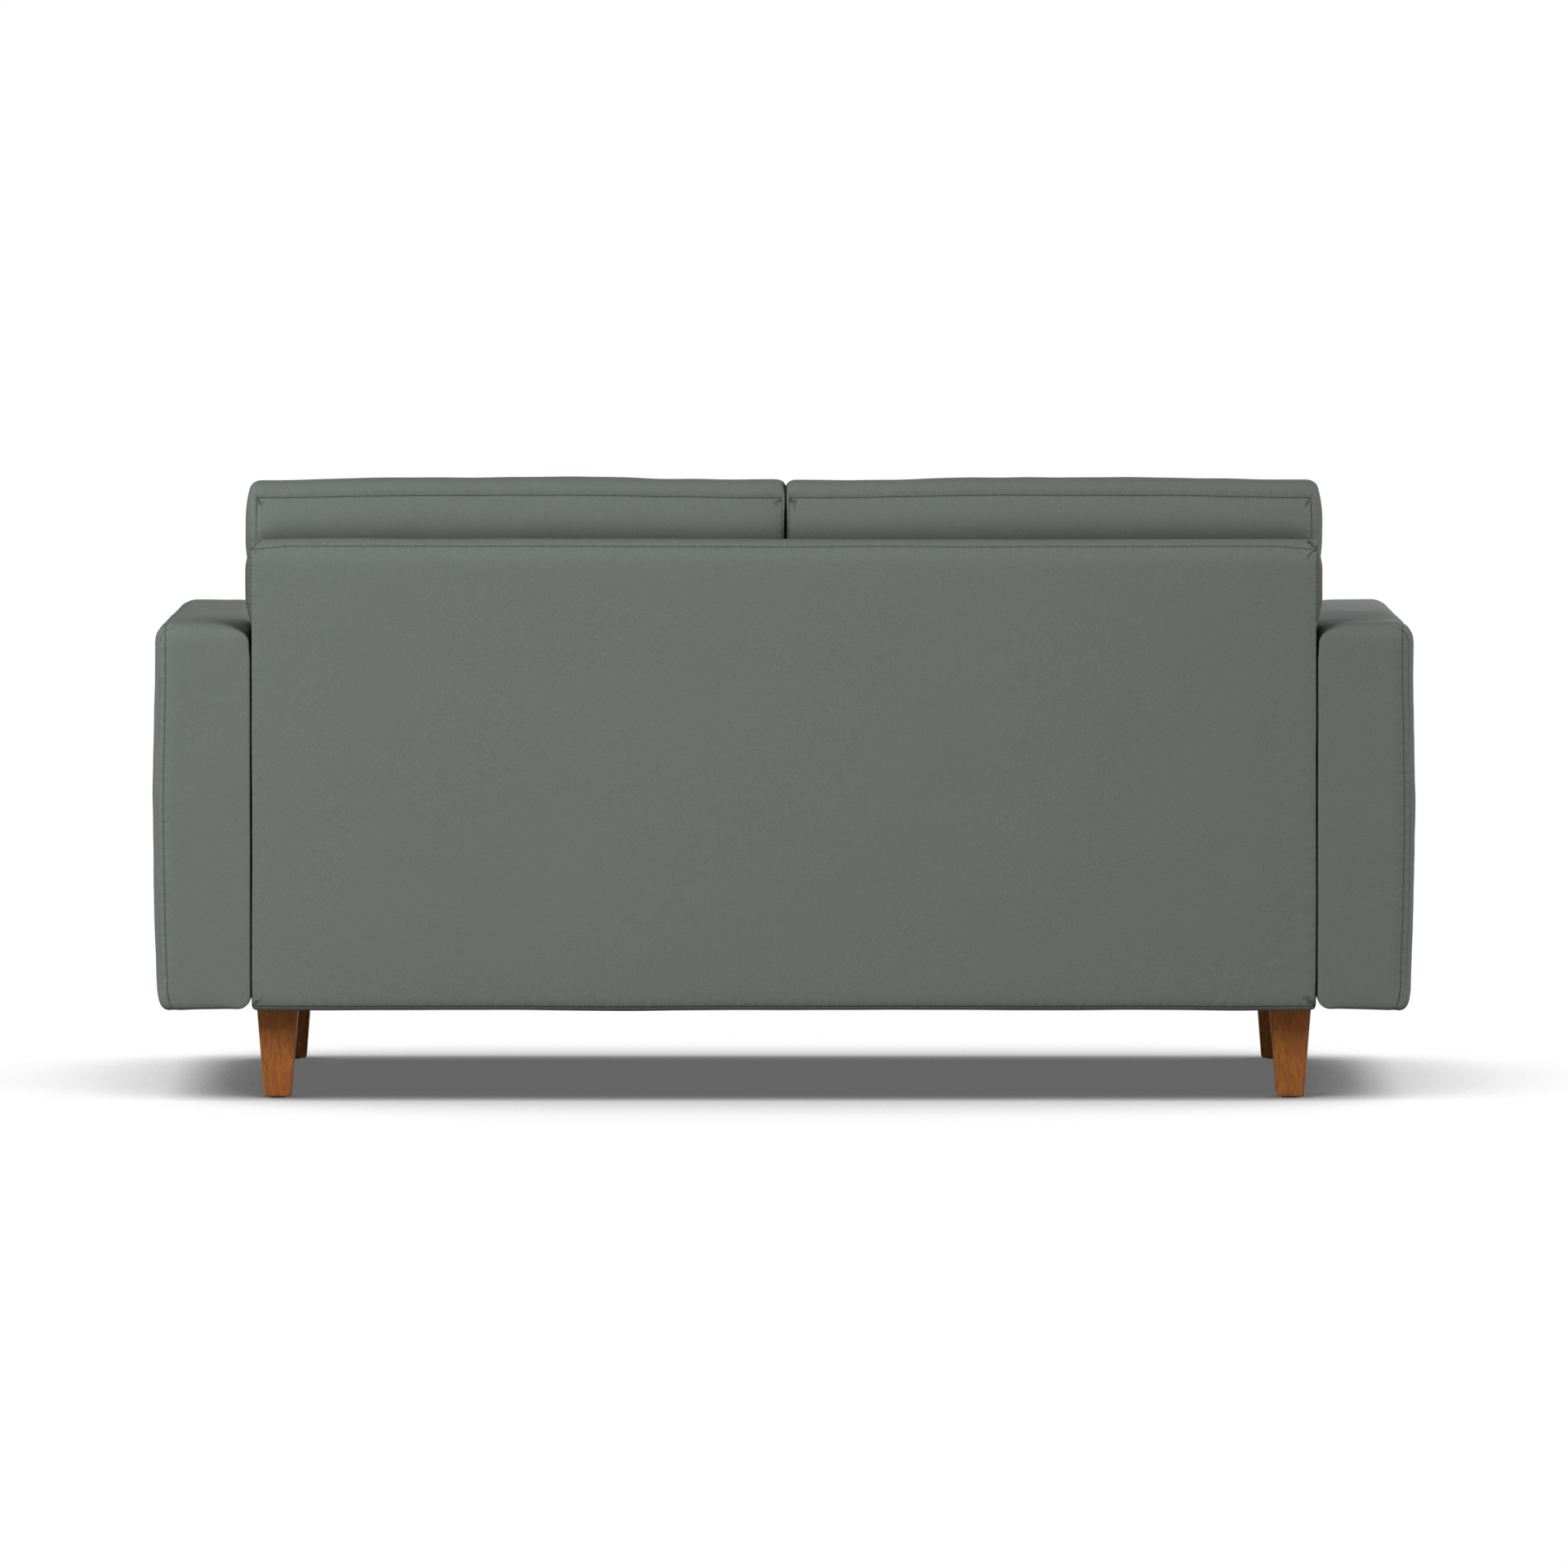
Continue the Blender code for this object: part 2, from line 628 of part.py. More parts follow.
def legs():
    """Four tapered wooden legs, each with a stud in a steel plate and a glide under its foot."""
    top, foot = UNDERSIDE_HEIGHT, GLIDE_HEIGHT + SEAT_GAP
    turn_share = 2 * (LEG_TAPER_START - foot) / (top - foot) - 1
    plate_reach = LEG_PLATE_WIDTH / 2
    for word, side, end_word, end in corners():
        centre_x, centre_y = leg_centre(side, end)
        name = f"leg_{end_word}_{word}"
        half = LEG_TOP_WIDTH / 2
        mesh = cage(
            (centre_x - half, centre_y - half, foot), (centre_x + half, centre_y + half, top), {"z": (turn_share,)}
        )
        weight = mesh.edges.layers.float.new("bevel_weight_edge")
        for edge in mesh.edges:
            low_z, high_z = sorted(vert.co.z for vert in edge.verts)
            upright = high_z - low_z > LEG_EDGE_ROUND
            edge[weight] = float(upright or high_z < foot + LEG_EDGE_ROUND)
        for vert in mesh.verts:
            width = LEG_TOP_WIDTH
            if vert.co.z < top - LEG_EDGE_ROUND:
                width = LEG_MIDDLE_WIDTH
            if vert.co.z < foot + LEG_EDGE_ROUND:
                width = LEG_FOOT_WIDTH
            vert.co.x = centre_x + (vert.co.x - centre_x) * width / LEG_TOP_WIDTH
            vert.co.y = centre_y + (vert.co.y - centre_y) * width / LEG_TOP_WIDTH
        leg = place(name, to_mesh(mesh, name), WOOD)
        bevel = leg.modifiers.new("rounds", "BEVEL")
        bevel.limit_method = "WEIGHT"
        bevel.width = LEG_EDGE_ROUND
        bevel.segments = 2
        at = Vector((centre_x, centre_y, 0))
        up = Vector((0, 0, 1))
        stud = rod(name + "_stud", at + up * (top - CUT_OVERRUN), at + up * PLATE_TOP, LEG_STUD_RADIUS)
        fuse(leg, stud)
        corner_plate = block(
            f"leg_plate_{end_word}_{word}",
            (centre_x - plate_reach, centre_y - plate_reach, PLATE_LOW),
            (centre_x + plate_reach, centre_y + plate_reach, PLATE_TOP),
            ZINC,
            (("z", 0, 0, LEG_PLATE_ROUND),),
            2,
        )
        hole = rod(
            name + "_stud_hole",
            at + up * (PLATE_LOW - CUT_OVERRUN),
            at + up * (PLATE_TOP + CUT_OVERRUN),
            LEG_STUD_RADIUS + SEAT_GAP,
        )
        cut(corner_plate, hole)
        rod(f"leg_glide_{end_word}_{word}", at, at + up * GLIDE_HEIGHT, GLIDE_RADIUS, PLASTIC)


def across(side, inner, outer, point):
    """Two points of a line along x, at one (y, z) point."""
    return (side * inner, *point), (side * outer, *point)


def hinge_lug(name, side, pin, root, inner, outer, with_pin):
    """The tools of one lug: a strap from its root on the frame to its pin, and a boss at the root.

    The lug with the pin carries it through its neighbour's hole, and the other has that hole.
    """
    holes = [] if with_pin else [(pin, PIN_RADIUS + PIN_CLEARANCE)]
    middle = (inner + outer) / 2
    tools = [
        plate(name, strap_outline(pin, root, LUG_RADIUS), holes, inner, outer, side),
        rod(name + "_boss", *across(side, FRAME_HALF - LUG_ROOT_DEPTH, middle, root), LUG_BOSS_RADIUS),
    ]
    if with_pin:
        tools.append(rod(name + "_pin", *across(side, INNER_LUG_INNER, middle, pin), PIN_RADIUS))
    return tools


def bed_frame(name, front, low_z, slats_up):
    """A rectangular steel frame, pocketed on the side that its legs fold into, with flat slats.

    The slats lie at the frame's mattress side, which is up on the head and foot sections and
    down on the middle one while the bed is folded.
    """
    rounds = (("y", 0, 0, FRAME_ROUND), ("z", 0, 0, FRAME_ROUND))
    low = (-FRAME_HALF, front, low_z)
    high = (FRAME_HALF, SECTION_REAR, low_z + FRAME_HEIGHT)
    frame = block(name, low, high, STEEL, rounds, 2)
    inside_x = FRAME_HALF - FRAME_BAR_WIDTH
    inside_y = (front + FRAME_BAR_WIDTH, SECTION_REAR - FRAME_BAR_WIDTH)
    if slats_up:
        pocket_z = (low[2] - CUT_OVERRUN, high[2] - SLAT_THICKNESS)
    else:
        pocket_z = (low[2] + SLAT_THICKNESS, high[2] + CUT_OVERRUN)
    pocket = block(name + "_pocket", (-inside_x, inside_y[0], pocket_z[0]), (inside_x, inside_y[1], pocket_z[1]))
    cut(frame, pocket)
    pitch = (inside_y[1] - inside_y[0]) / SLAT_GAP_COUNT
    gap_end = inside_x - SLAT_GAP_END_INSET
    run = (2 * gap_end - (SLAT_GAP_COLUMNS - 1) * SLAT_STRINGER_WIDTH) / SLAT_GAP_COLUMNS
    for row in range(SLAT_GAP_COUNT):
        middle = inside_y[0] + (row + 0.5) * pitch
        reach = pitch * SLAT_GAP_SHARE / 2
        for column in range(SLAT_GAP_COLUMNS):
            start = -gap_end + column * (run + SLAT_STRINGER_WIDTH)
            gap = block(
                f"{name}_gap_{row}_{column}",
                (start, middle - reach, low[2] - CUT_OVERRUN),
                (start + run, middle + reach, high[2] + CUT_OVERRUN),
            )
            cut(frame, gap)
    return frame


def leg_brackets(name, frame, post_x, pivot, slat_way):
    """Fuses to a section's frame the plates and pins that its folding legs turn on.

    The slats lie above the pivot where slat_way is 1, and below it where it is -1.
    """
    inside = post_x + BED_LEG_RADIUS + RUN_GAP
    y_range = (pivot[0] - LUG_RADIUS, pivot[0] + LUG_RADIUS)
    open_z = pivot[1] - slat_way * (BED_LEG_PIVOT_DEPTH - RUN_GAP)
    slat_z = pivot[1] + slat_way * (FRAME_HEIGHT - BED_LEG_PIVOT_DEPTH - SLAT_THICKNESS / 2)
    z_range = sorted((open_z, slat_z))
    for word, side in sides():
        tab = sided_block(
            f"{name}_leg_bracket_{word}", side, (inside, inside + LEG_BRACKET_THICKNESS), y_range, z_range
        )
        pin = rod(
            f"{name}_leg_pin_{word}",
            *across(side, post_x - BED_LEG_RADIUS, inside + LEG_BRACKET_THICKNESS / 2, pivot),
            PIN_RADIUS,
        )
        fuse(frame, tab, pin)


def mattress(name, low_z, front, rear):
    """One part of the mattress, seated on its section's slats."""
    rounds = (("z", 0, 0, MATTRESS_ROUND), ("x", 0, 0, MATTRESS_ROUND), ("y", 0, 0, MATTRESS_ROUND))
    low = (-MATTRESS_HALF, front, low_z)
    high = (MATTRESS_HALF, rear, low_z + MATTRESS_THICKNESS - 2 * SEAT_GAP)
    return block(name, low, high, TICKING, rounds, 3)


def bed_leg(name, side, post_x, pivot, heading, parent):
    """One post of a folding pair: a tube with an eye on its bracket's pin."""
    foot = (pivot[0] + heading * BED_LEG_LENGTH, pivot[1])
    x = side * post_x
    post = rod(name, (x, pivot[0], pivot[1]), (x, *foot), BED_LEG_RADIUS, STEEL, 16)
    eye = rod(
        name + "_eye", *across(side, post_x - BED_LEG_RADIUS, post_x + BED_LEG_RADIUS, pivot), BED_LEG_RADIUS
    )
    fuse(post, eye)
    hole = rod(
        name + "_eye_hole",
        *across(side, post_x - 2 * BED_LEG_RADIUS, post_x + 2 * BED_LEG_RADIUS, pivot),
        PIN_RADIUS + PIN_CLEARANCE,
    )
    cut(post, hole)
    hang(post, parent)


def bed_leg_bar(name, post_x, pivot, heading, parent):
    """The cross bar between two posts of a folding pair."""
    reach = post_x - BED_LEG_RADIUS - SEAT_GAP
    point = (pivot[0] + heading * (BED_LEG_LENGTH - BED_LEG_BAR_FOOT_INSET), pivot[1])
    bar = rod(name, (-reach, *point), (reach, *point), BED_LEG_BAR_RADIUS, STEEL, 16)
    hang(bar, parent)


def pull_bar(parent):
    """The bent bar at the bed's foot end, which is gripped to draw the bed out."""
    feet = SECOND_HINGE_Z + FRAME_HEIGHT + SEAT_GAP
    y = SECTION_FRONT + PULL_BAR_SETBACK
    half = PULL_BAR_LENGTH / 2
    corner = (half - PULL_BAR_BEND, feet + PULL_BAR_HEIGHT - PULL_BAR_BEND)
    bend = arc(corner, PULL_BAR_BEND, 0, 90, 5)
    route = [(half, feet)] + bend
    route += [(-across_x, up) for across_x, up in reversed(route)]
    curve = bpy.data.curves.new("pull_bar", "CURVE")
    curve.dimensions = "3D"
    curve.bevel_depth = PULL_BAR_RADIUS
    curve.bevel_resolution = 2
    curve.use_fill_caps = True
    spline = curve.splines.new("POLY")
    spline.points.add(len(route) - 1)
    for point, (across_x, up) in zip(spline.points, route):
        point.co = (across_x, y, up, 1)
    hang(place("pull_bar", curve_mesh(curve, "pull_bar"), STEEL), parent)


def lift():
    """The side plates and links that raise the head section, and the empties that they turn on.

    Returns the head section's empty, the two pins (y, z) of each link, and the links' slope.
    """
    head_pins = [(HEAD_PIN_Y, STACK_LOW + FRAME_HEIGHT / 2 + level * LINK_SPACING) for level in range(2)]
    base_pins = [(BASE_PIN_Y, z + LIFT_HEIGHT / 2) for _, z in head_pins]
    axes = {
        "lower": carrier("lower_link_axis", (0, *base_pins[0])),
        "upper": carrier("upper_link_axis", (0, *base_pins[1])),
    }
    hole = PIN_RADIUS + PIN_CLEARANCE
    for word, side in sides():
        for level, (key, axis) in enumerate(axes.items()):
            first, second = base_pins[level], head_pins[level]
            outline = strap_outline(first, second, LINK_RADIUS)
            holes = [(first, hole), (second, hole)]
            name = f"lift_link_{key}_{word}"
            hang(plate(name, outline, holes, LINK_INNER, LINK_OUTER, side, STEEL), axis)
        y_range = (base_pins[0][0] - SIDE_PLATE_MARGIN, base_pins[0][0] + SIDE_PLATE_MARGIN)
        z_range = (base_pins[0][1] - SIDE_PLATE_MARGIN, base_pins[1][1] + SIDE_PLATE_MARGIN)
        bracket = sided_block(
            f"side_plate_{word}",
            side,
            (SIDE_PLATE_INNER, SIDE_PLATE_OUTER),
            y_range,
            z_range,
            ZINC,
            (("x", 0, 0, SIDE_PLATE_ROUND),),
        )
        shank_start = BASE_RIVET_INNER + RIVET_HEAD_THICKNESS / 2
        shank_end = SIDE_PLATE_INNER + SIDE_PLATE_THICKNESS / 2
        for level, pin in enumerate(base_pins):
            shank = rod(
                f"base_pin_{level}_{word}", *across(side, shank_start, shank_end, pin), PIN_RADIUS
            )
            head = rod(
                f"base_rivet_{level}_{word}",
                *across(side, BASE_RIVET_INNER, LIFT_STRAP_OUTER, pin),
                RIVET_HEAD_RADIUS,
            )
            fuse(bracket, shank, head)
    head_axis = carrier("head_section_axis", (0, *head_pins[1]), axes["upper"])
    return head_axis, head_pins


def lift_brackets(axis, head_pins):
    """The straps on the head section's frame, each with a spacer and the two pins of the links."""
    strap_middle = LIFT_STRAP_OUTER - LUG_THICKNESS / 2
    head_inner = LINK_OUTER + RUN_GAP
    head_outer = head_inner + RIVET_HEAD_THICKNESS
    shank_end = head_inner + RIVET_HEAD_THICKNESS / 2
    outline = strap_outline(head_pins[0], head_pins[1], LINK_RADIUS)
    for word, side in sides():
        strap = plate(f"lift_bracket_{word}", outline, [], LIFT_STRAP_INNER, LIFT_STRAP_OUTER, side, ZINC)
        spacer = rod(
            f"lift_spacer_{word}",
            *across(side, FRAME_HALF + SEAT_GAP, strap_middle, head_pins[0]),
            LUG_BOSS_RADIUS,
        )
        fuse(strap, spacer)
        for level, centre in enumerate(head_pins):
            shank = rod(
                f"lift_pin_{level}_{word}", *across(side, strap_middle, shank_end, centre), PIN_RADIUS
            )
            head = rod(
                f"lift_rivet_{level}_{word}", *across(side, head_inner, head_outer, centre), RIVET_HEAD_RADIUS
            )
            fuse(strap, shank, head)
        hang(strap, axis)


def head_section(axis):
    """The section that stays over the seat box, with its hinge lugs."""
    frame = bed_frame("head_frame", SECTION_FRONT, STACK_LOW, True)
    pin = (FIRST_HINGE_Y, FIRST_HINGE_Z)
    root = (FIRST_HINGE_Y + LUG_SETBACK, STACK_LOW + FRAME_HEIGHT / 2)
    for word, side in sides():
        fuse(frame, *hinge_lug(f"head_lug_{word}", side, pin, root, OUTER_LUG_INNER, OUTER_LUG_OUTER, True))
    hang(frame, axis)
    low = STACK_LOW + FRAME_HEIGHT + SEAT_GAP
    hang(mattress("mattress_head", low, SECTION_FRONT, SECTION_REAR), axis)


def middle_section(head_axis):
    """The section that turns over to the front, folded with its mattress side down.

    Its frame starts behind its mattress's front end, so that it turns clear of the front rail.
    """
    axis = carrier("middle_section_axis", (0, FIRST_HINGE_Y, FIRST_HINGE_Z), head_axis)
    low = SECOND_HINGE_Z - FRAME_HEIGHT - SEAT_GAP
    frame = bed_frame("middle_frame", SECTION_FRONT + MIDDLE_FRAME_SETBACK, low, False)
    level = low + FRAME_HEIGHT / 2
    first_root = FIRST_HINGE_Y + MIDDLE_FRAME_SETBACK + LUG_SETBACK
    hinges = (
        ("first", (FIRST_HINGE_Y, FIRST_HINGE_Z), (first_root, level)),
        ("second", (SECOND_HINGE_Y, SECOND_HINGE_Z), (SECOND_HINGE_Y - LUG_SETBACK, level)),
    )
    for word, side in sides():
        for which, pin, root in hinges:
            name = f"middle_lug_{which}_{word}"
            fuse(frame, *hinge_lug(name, side, pin, root, INNER_LUG_INNER, INNER_LUG_OUTER, False))
    pivot = (SECOND_HINGE_Y - BED_LEG_PIVOT_INSET, low + FRAME_HEIGHT - BED_LEG_PIVOT_DEPTH)
    leg_brackets("middle", frame, MIDDLE_LEG_X, pivot, -1)
    hang(frame, axis)
    hang(mattress("mattress_middle", FIRST_HINGE_Z + SEAT_GAP, SECTION_FRONT, SECTION_REAR), axis)
    leg_axis = carrier("middle_leg_axis", (0, *pivot), axis)
    for word, side in sides():
        bed_leg(f"middle_leg_{word}", side, MIDDLE_LEG_X, pivot, -1, leg_axis)
    bed_leg_bar("middle_leg_bar", MIDDLE_LEG_X, pivot, -1, leg_axis)
    return axis


def foot_section(middle_axis):
    """The section that stays level on the middle one, with the bed's pull bar."""
    axis = carrier("foot_section_axis", (0, SECOND_HINGE_Y, SECOND_HINGE_Z), middle_axis)
    low = SECOND_HINGE_Z + SEAT_GAP
    frame = bed_frame("foot_frame", SECTION_FRONT, low, True)
    pin = (SECOND_HINGE_Y, SECOND_HINGE_Z)
    root = (SECOND_HINGE_Y - LUG_SETBACK, low + FRAME_HEIGHT / 2)
    for word, side in sides():
        fuse(frame, *hinge_lug(f"foot_lug_{word}", side, pin, root, OUTER_LUG_INNER, OUTER_LUG_OUTER, True))
    pivot = (FIRST_HINGE_Y + BED_LEG_PIVOT_INSET, low + BED_LEG_PIVOT_DEPTH)
    leg_brackets("foot", frame, FOOT_LEG_X, pivot, 1)
    hang(frame, axis)
    seat = low + FRAME_HEIGHT + SEAT_GAP
    hang(mattress("mattress_foot", seat, SECTION_FRONT + MATTRESS_FOOT_CUTBACK, SECTION_REAR), axis)
    leg_axis = carrier("foot_leg_axis", (0, *pivot), axis)
    for word, side in sides():
        bed_leg(f"foot_leg_{word}", side, FOOT_LEG_X, pivot, 1, leg_axis)
    bed_leg_bar("foot_leg_bar", FOOT_LEG_X, pivot, 1, leg_axis)
    pull_bar(axis)
    return axis


def cushion(name, low, high, thin, parent):
    """A boxed cushion: crowned on its two faces, its sides drawn in between the corners."""
    wide = [axis for axis in AXES if axis != thin]
    ends = (CUSHION_EDGE_SHARE, CUSHION_INNER_SHARE)
    shares = {axis: [sign * share for share in ends for sign in (-1, 1)] + [0] for axis in wide}
    shares[thin] = [-CUSHION_BAND_SHARE, CUSHION_BAND_SHARE]
    mesh = cage(low, high, shares)
    middle = (Vector(low) + Vector(high)) / 2
    half = (Vector(high) - Vector(low)) / 2
    first, second, depth = (AXES.index(axis) for axis in (*wide, thin))
    for vert in mesh.verts:
        share = [(vert.co[index] - middle[index]) / half[index] for index in range(3)]
        fullness = (1 - share[first] ** 4) * (1 - share[second] ** 4)
        vert.co[depth] -= share[depth] * CUSHION_CROWN * (1 - fullness)
        tuck = CUSHION_SEAM_TUCK * share[depth] ** 2
        for along, other in ((first, second), (second, first)):
            vert.co[along] -= share[along] ** 3 * (CUSHION_DRAW * (1 - share[other] ** 2) + tuck)
    obj = place(name, to_mesh(mesh, name), FABRIC)
    smooth = obj.modifiers.new("fullness", "SUBSURF")
    smooth.levels = 1
    smooth.render_levels = 1
    for polygon in obj.data.polygons:
        polygon.use_smooth = True
    hang(obj, parent)


def cushions(foot_axis):
    """Two seat cushions on the folded bed, and two back cushions on the ledge behind them."""
    outer = ARM_INNER - CUSHION_ARM_GAP
    rear_of_seat = LEDGE_FRONT - BACK_CUSHION_FRONT_GAP
    for word, side in sides():
        low_x, high_x = spread(side, CUSHION_PARTING / 2, outer)
        seat_low = STACK_TOP + SEAT_GAP
        seat = carrier(f"seat_cushion_{word}_slide", (side * outer / 2, 0, seat_low), foot_axis)
        cushion(
            f"seat_cushion_{word}",
            (low_x, FRONT + SEAT_CUSHION_OVERHANG, seat_low),
            (high_x, rear_of_seat, seat_low + SEAT_CUSHION_THICKNESS),
            "z",
            seat,
        )
        back_low = LEDGE_TOP + SEAT_GAP
        rest = carrier(f"back_cushion_{word}_slide", (side * outer / 2, REAR_RAIL_REAR, back_low))
        cushion(
            f"back_cushion_{word}",
            (low_x, LEDGE_FRONT, back_low),
            (high_x, BACK_FRONT - SEAT_GAP, CUSHION_TOP + CUSHION_TOP_SMOOTHING),
            "y",
            rest,
        )


def shade_round_pieces():
    """Shades every part smooth, with its sharp edges kept."""
    for obj in PARTS.objects:
        if obj.type == "MESH":
            obj.data.shade_smooth()
            obj.data.set_sharp_from_angle(angle=math.radians(35))


def main():
    arms()
    back()
    base()
    legs()
    head_axis, head_pins = lift()
    lift_brackets(head_axis, head_pins)
    head_section(head_axis)
    middle_axis = middle_section(head_axis)
    foot_axis = foot_section(middle_axis)
    cushions(foot_axis)
    shade_round_pieces()


main()
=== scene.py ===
import json
import logging
import math
from dataclasses import dataclass
from enum import Enum
from typing import Callable, Iterable, Optional, Sequence

import bpy
import numpy as np
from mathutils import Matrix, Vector


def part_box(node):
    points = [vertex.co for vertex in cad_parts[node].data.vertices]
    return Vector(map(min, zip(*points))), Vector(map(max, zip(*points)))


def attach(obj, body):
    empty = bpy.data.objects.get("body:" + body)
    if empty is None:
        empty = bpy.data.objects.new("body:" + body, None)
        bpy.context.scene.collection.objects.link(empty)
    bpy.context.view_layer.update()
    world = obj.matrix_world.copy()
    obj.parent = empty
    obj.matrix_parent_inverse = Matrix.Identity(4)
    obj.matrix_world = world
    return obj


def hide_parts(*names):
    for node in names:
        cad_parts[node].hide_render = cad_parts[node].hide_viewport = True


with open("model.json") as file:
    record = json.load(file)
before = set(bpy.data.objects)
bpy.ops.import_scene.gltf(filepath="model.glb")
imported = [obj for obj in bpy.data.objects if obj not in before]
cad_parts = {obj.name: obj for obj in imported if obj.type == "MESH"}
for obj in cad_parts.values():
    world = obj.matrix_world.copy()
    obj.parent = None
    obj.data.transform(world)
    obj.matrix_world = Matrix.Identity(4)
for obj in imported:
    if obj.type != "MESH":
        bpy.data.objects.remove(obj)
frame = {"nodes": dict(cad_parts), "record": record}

LOG = logging.getLogger("sofa_bed")
Array = np.ndarray
Colour = tuple[float, float, float]
Point = tuple[float, float, float]
Span = tuple[float, float]
Field = Callable[[Array], Array]
Socket = bpy.types.NodeSocket
Sockets = bpy.types.bpy_prop_collection
SEAM_GAP = "seam_gap"
SEAM_RUN = "seam_run"
NO_SEAM = 1.0


class Side(Enum):
    """The two sides of the sofa, as the sign of their x."""

    LEFT = 1
    RIGHT = -1

    @property
    def word(self) -> str:
        """The side's name in lower case."""
        return self.name.lower()


class Axis(Enum):
    """The three axes, as an index into a point."""

    X = 0
    Y = 1
    Z = 2


class Turn(Enum):
    """How a mapped value turns from its start to its end."""

    SMOOTH = "SMOOTHSTEP"
    EVEN = "LINEAR"


# geometry helpers


def graded(low: float, high: float, step: float, edge: float = 0.002, growth: float = 1.35) -> Array:
    """Grid lines from low to high that lie closer together at both ends.

    Args:
        low: the first line.
        high: the last line.
        step: the widest spacing, used in the middle.
        edge: the spacing at the ends.
        growth: how many times wider each spacing is than the one before it.

    Returns:
        The positions in rising order.
    """
    offsets = [0.0]
    spacing = edge
    while spacing < step and offsets[-1] + spacing < (high - low) / 2 - step:
        offsets.append(offsets[-1] + spacing)
        spacing *= growth
    near = np.array(offsets)
    inner_low, inner_high = low + near[-1], high - near[-1]
    count = max(1, round((inner_high - inner_low) / step))
    middle = np.linspace(inner_low, inner_high, count + 1)[1:-1]
    return np.concatenate([low + near, middle, (high - near)[::-1]])


def lattice(xs: Array, ys: Array, zs: Array) -> tuple[Array, Array]:
    """The surface grid of a box, one closed sheet of quads that faces outwards.

    Args:
        xs: grid lines along x.
        ys: grid lines along y.
        zs: grid lines along z.

    Returns:
        Points, one a row, and quads, four indices a row.
    """
    shape = (len(xs), len(ys), len(zs))
    shell = np.zeros(shape, bool)
    for axis in range(3):
        ends = [slice(None)] * 3
        for end in (0, -1):
            ends[axis] = end
            shell[tuple(ends)] = True
    index = np.full(shape, -1)
    index[shell] = np.arange(shell.sum())
    points = np.stack(np.meshgrid(xs, ys, zs, indexing="ij"), -1)[shell]
    quads = []
    for axis in range(3):
        for end in (0, -1):
            sheet = index.take(end, axis)
            patch = np.stack([sheet[:-1, :-1], sheet[1:, :-1], sheet[1:, 1:], sheet[:-1, 1:]], -1)
            patch = patch.reshape(-1, 4)
            outward = (end == -1) != (axis == 1)
            quads.append(patch if outward else patch[:, ::-1])
    return points, np.concatenate(quads)


def round_join(first: Array, second: Array, radius: Array | float) -> Array:
    """The signed distance to the overlap of two solids whose shared edge is rounded.

    Args:
        first: the signed distance to one solid.
        second: the signed distance to the other.
        radius: the radius of the shared edge.

    Returns:
        The signed distance to the overlap, one a point.
    """
    reach_a, reach_b = first + radius, second + radius
    outside = np.hypot(np.maximum(reach_a, 0), np.maximum(reach_b, 0))
    return outside + np.minimum(np.maximum(reach_a, reach_b), 0) - radius


def slope_of(solid: Field, points: Array, reach: float = 1e-4) -> Array:
    """The unit normals of a signed distance field.

    Args:
        solid: the field.
        points: where it is read.
        reach: how far to either side it is read.

    Returns:
        One normal a point.
    """
    grads = []
    for axis in range(3):
        shift = np.zeros(3)
        shift[axis] = reach
        grads.append(solid(points + shift) - solid(points - shift))
    normals = np.stack(grads, -1)
    return normals / np.maximum(np.linalg.norm(normals, axis=1, keepdims=True), 1e-12)


def settle(solid: Field, points: Array, rounds: int = 10) -> Array:
    """Moves points onto a surface.

    Args:
        solid: the signed distance field whose surface it is.
        points: where they start.
        rounds: how many steps they take.

    Returns:
        The moved points.
    """
    for _ in range(rounds):
        points = points - slope_of(solid, points) * solid(points)[:, None]
    return points


def smooth_step(low: float, high: float, value: Array) -> Array:
    """Nought before low, one after high, and an even turn between them."""
    share = np.clip((value - low) / (high - low), 0, 1)
    return share * share * (3 - 2 * share)


def ripple(points: Array, length: float, seed: int, waves: int = 7, spread: Span = (0.7, 1.5)) -> Array:
    """Smooth unevenness between about -1 and 1, from a few slanted waves.

    Args:
        points: where it is read.
        length: the mean wave length in metres.
        seed: which unevenness.
        waves: how many waves are added.
        spread: the shortest and longest wave, as shares of the mean.

    Returns:
        One value a point.
    """
    draw = np.random.default_rng(seed)
    total = np.zeros(len(points))
    for _ in range(waves):
        heading = draw.normal(size=3)
        heading /= np.linalg.norm(heading)
        scale = 2 * math.pi / (length * draw.uniform(*spread))
        total += np.sin(points @ heading * scale + draw.uniform(0, 2 * math.pi))
    return total / math.sqrt(waves)


def uneven(points: Array, *layers: tuple[float, float, int]) -> Array:
    """The sum of several ripples, each given as its length, its height and its seed."""
    return sum(ripple(points, length, seed) * height for length, height, seed in layers)


def dip(gap: Array, depth: float, reach: float) -> Array:
    """How far cloth is drawn in beside a seam or a tuft, as a move along its normal."""
    return -depth * np.exp(-((gap / reach) ** 2))


def nearest(*gaps: Array) -> Array:
    """Of several signed distances, the one nearest to nought at each point.

    Args:
        *gaps: the distances, one a point each.

    Returns:
        One distance a point.
    """
    stack = np.stack(gaps)
    pick = np.abs(stack).argmin(axis=0)
    return stack[pick, np.arange(stack.shape[1])]


def box_of(*nodes: str) -> tuple[Array, Array]:
    """The box that holds CAD nodes at rest.

    Args:
        *nodes: their names.

    Returns:
        Its lowest and its highest corner.
    """
    corners = [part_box(node) for node in nodes]
    lows = np.array([tuple(low) for low, _ in corners])
    highs = np.array([tuple(high) for _, high in corners])
    return lows.min(axis=0), highs.max(axis=0)


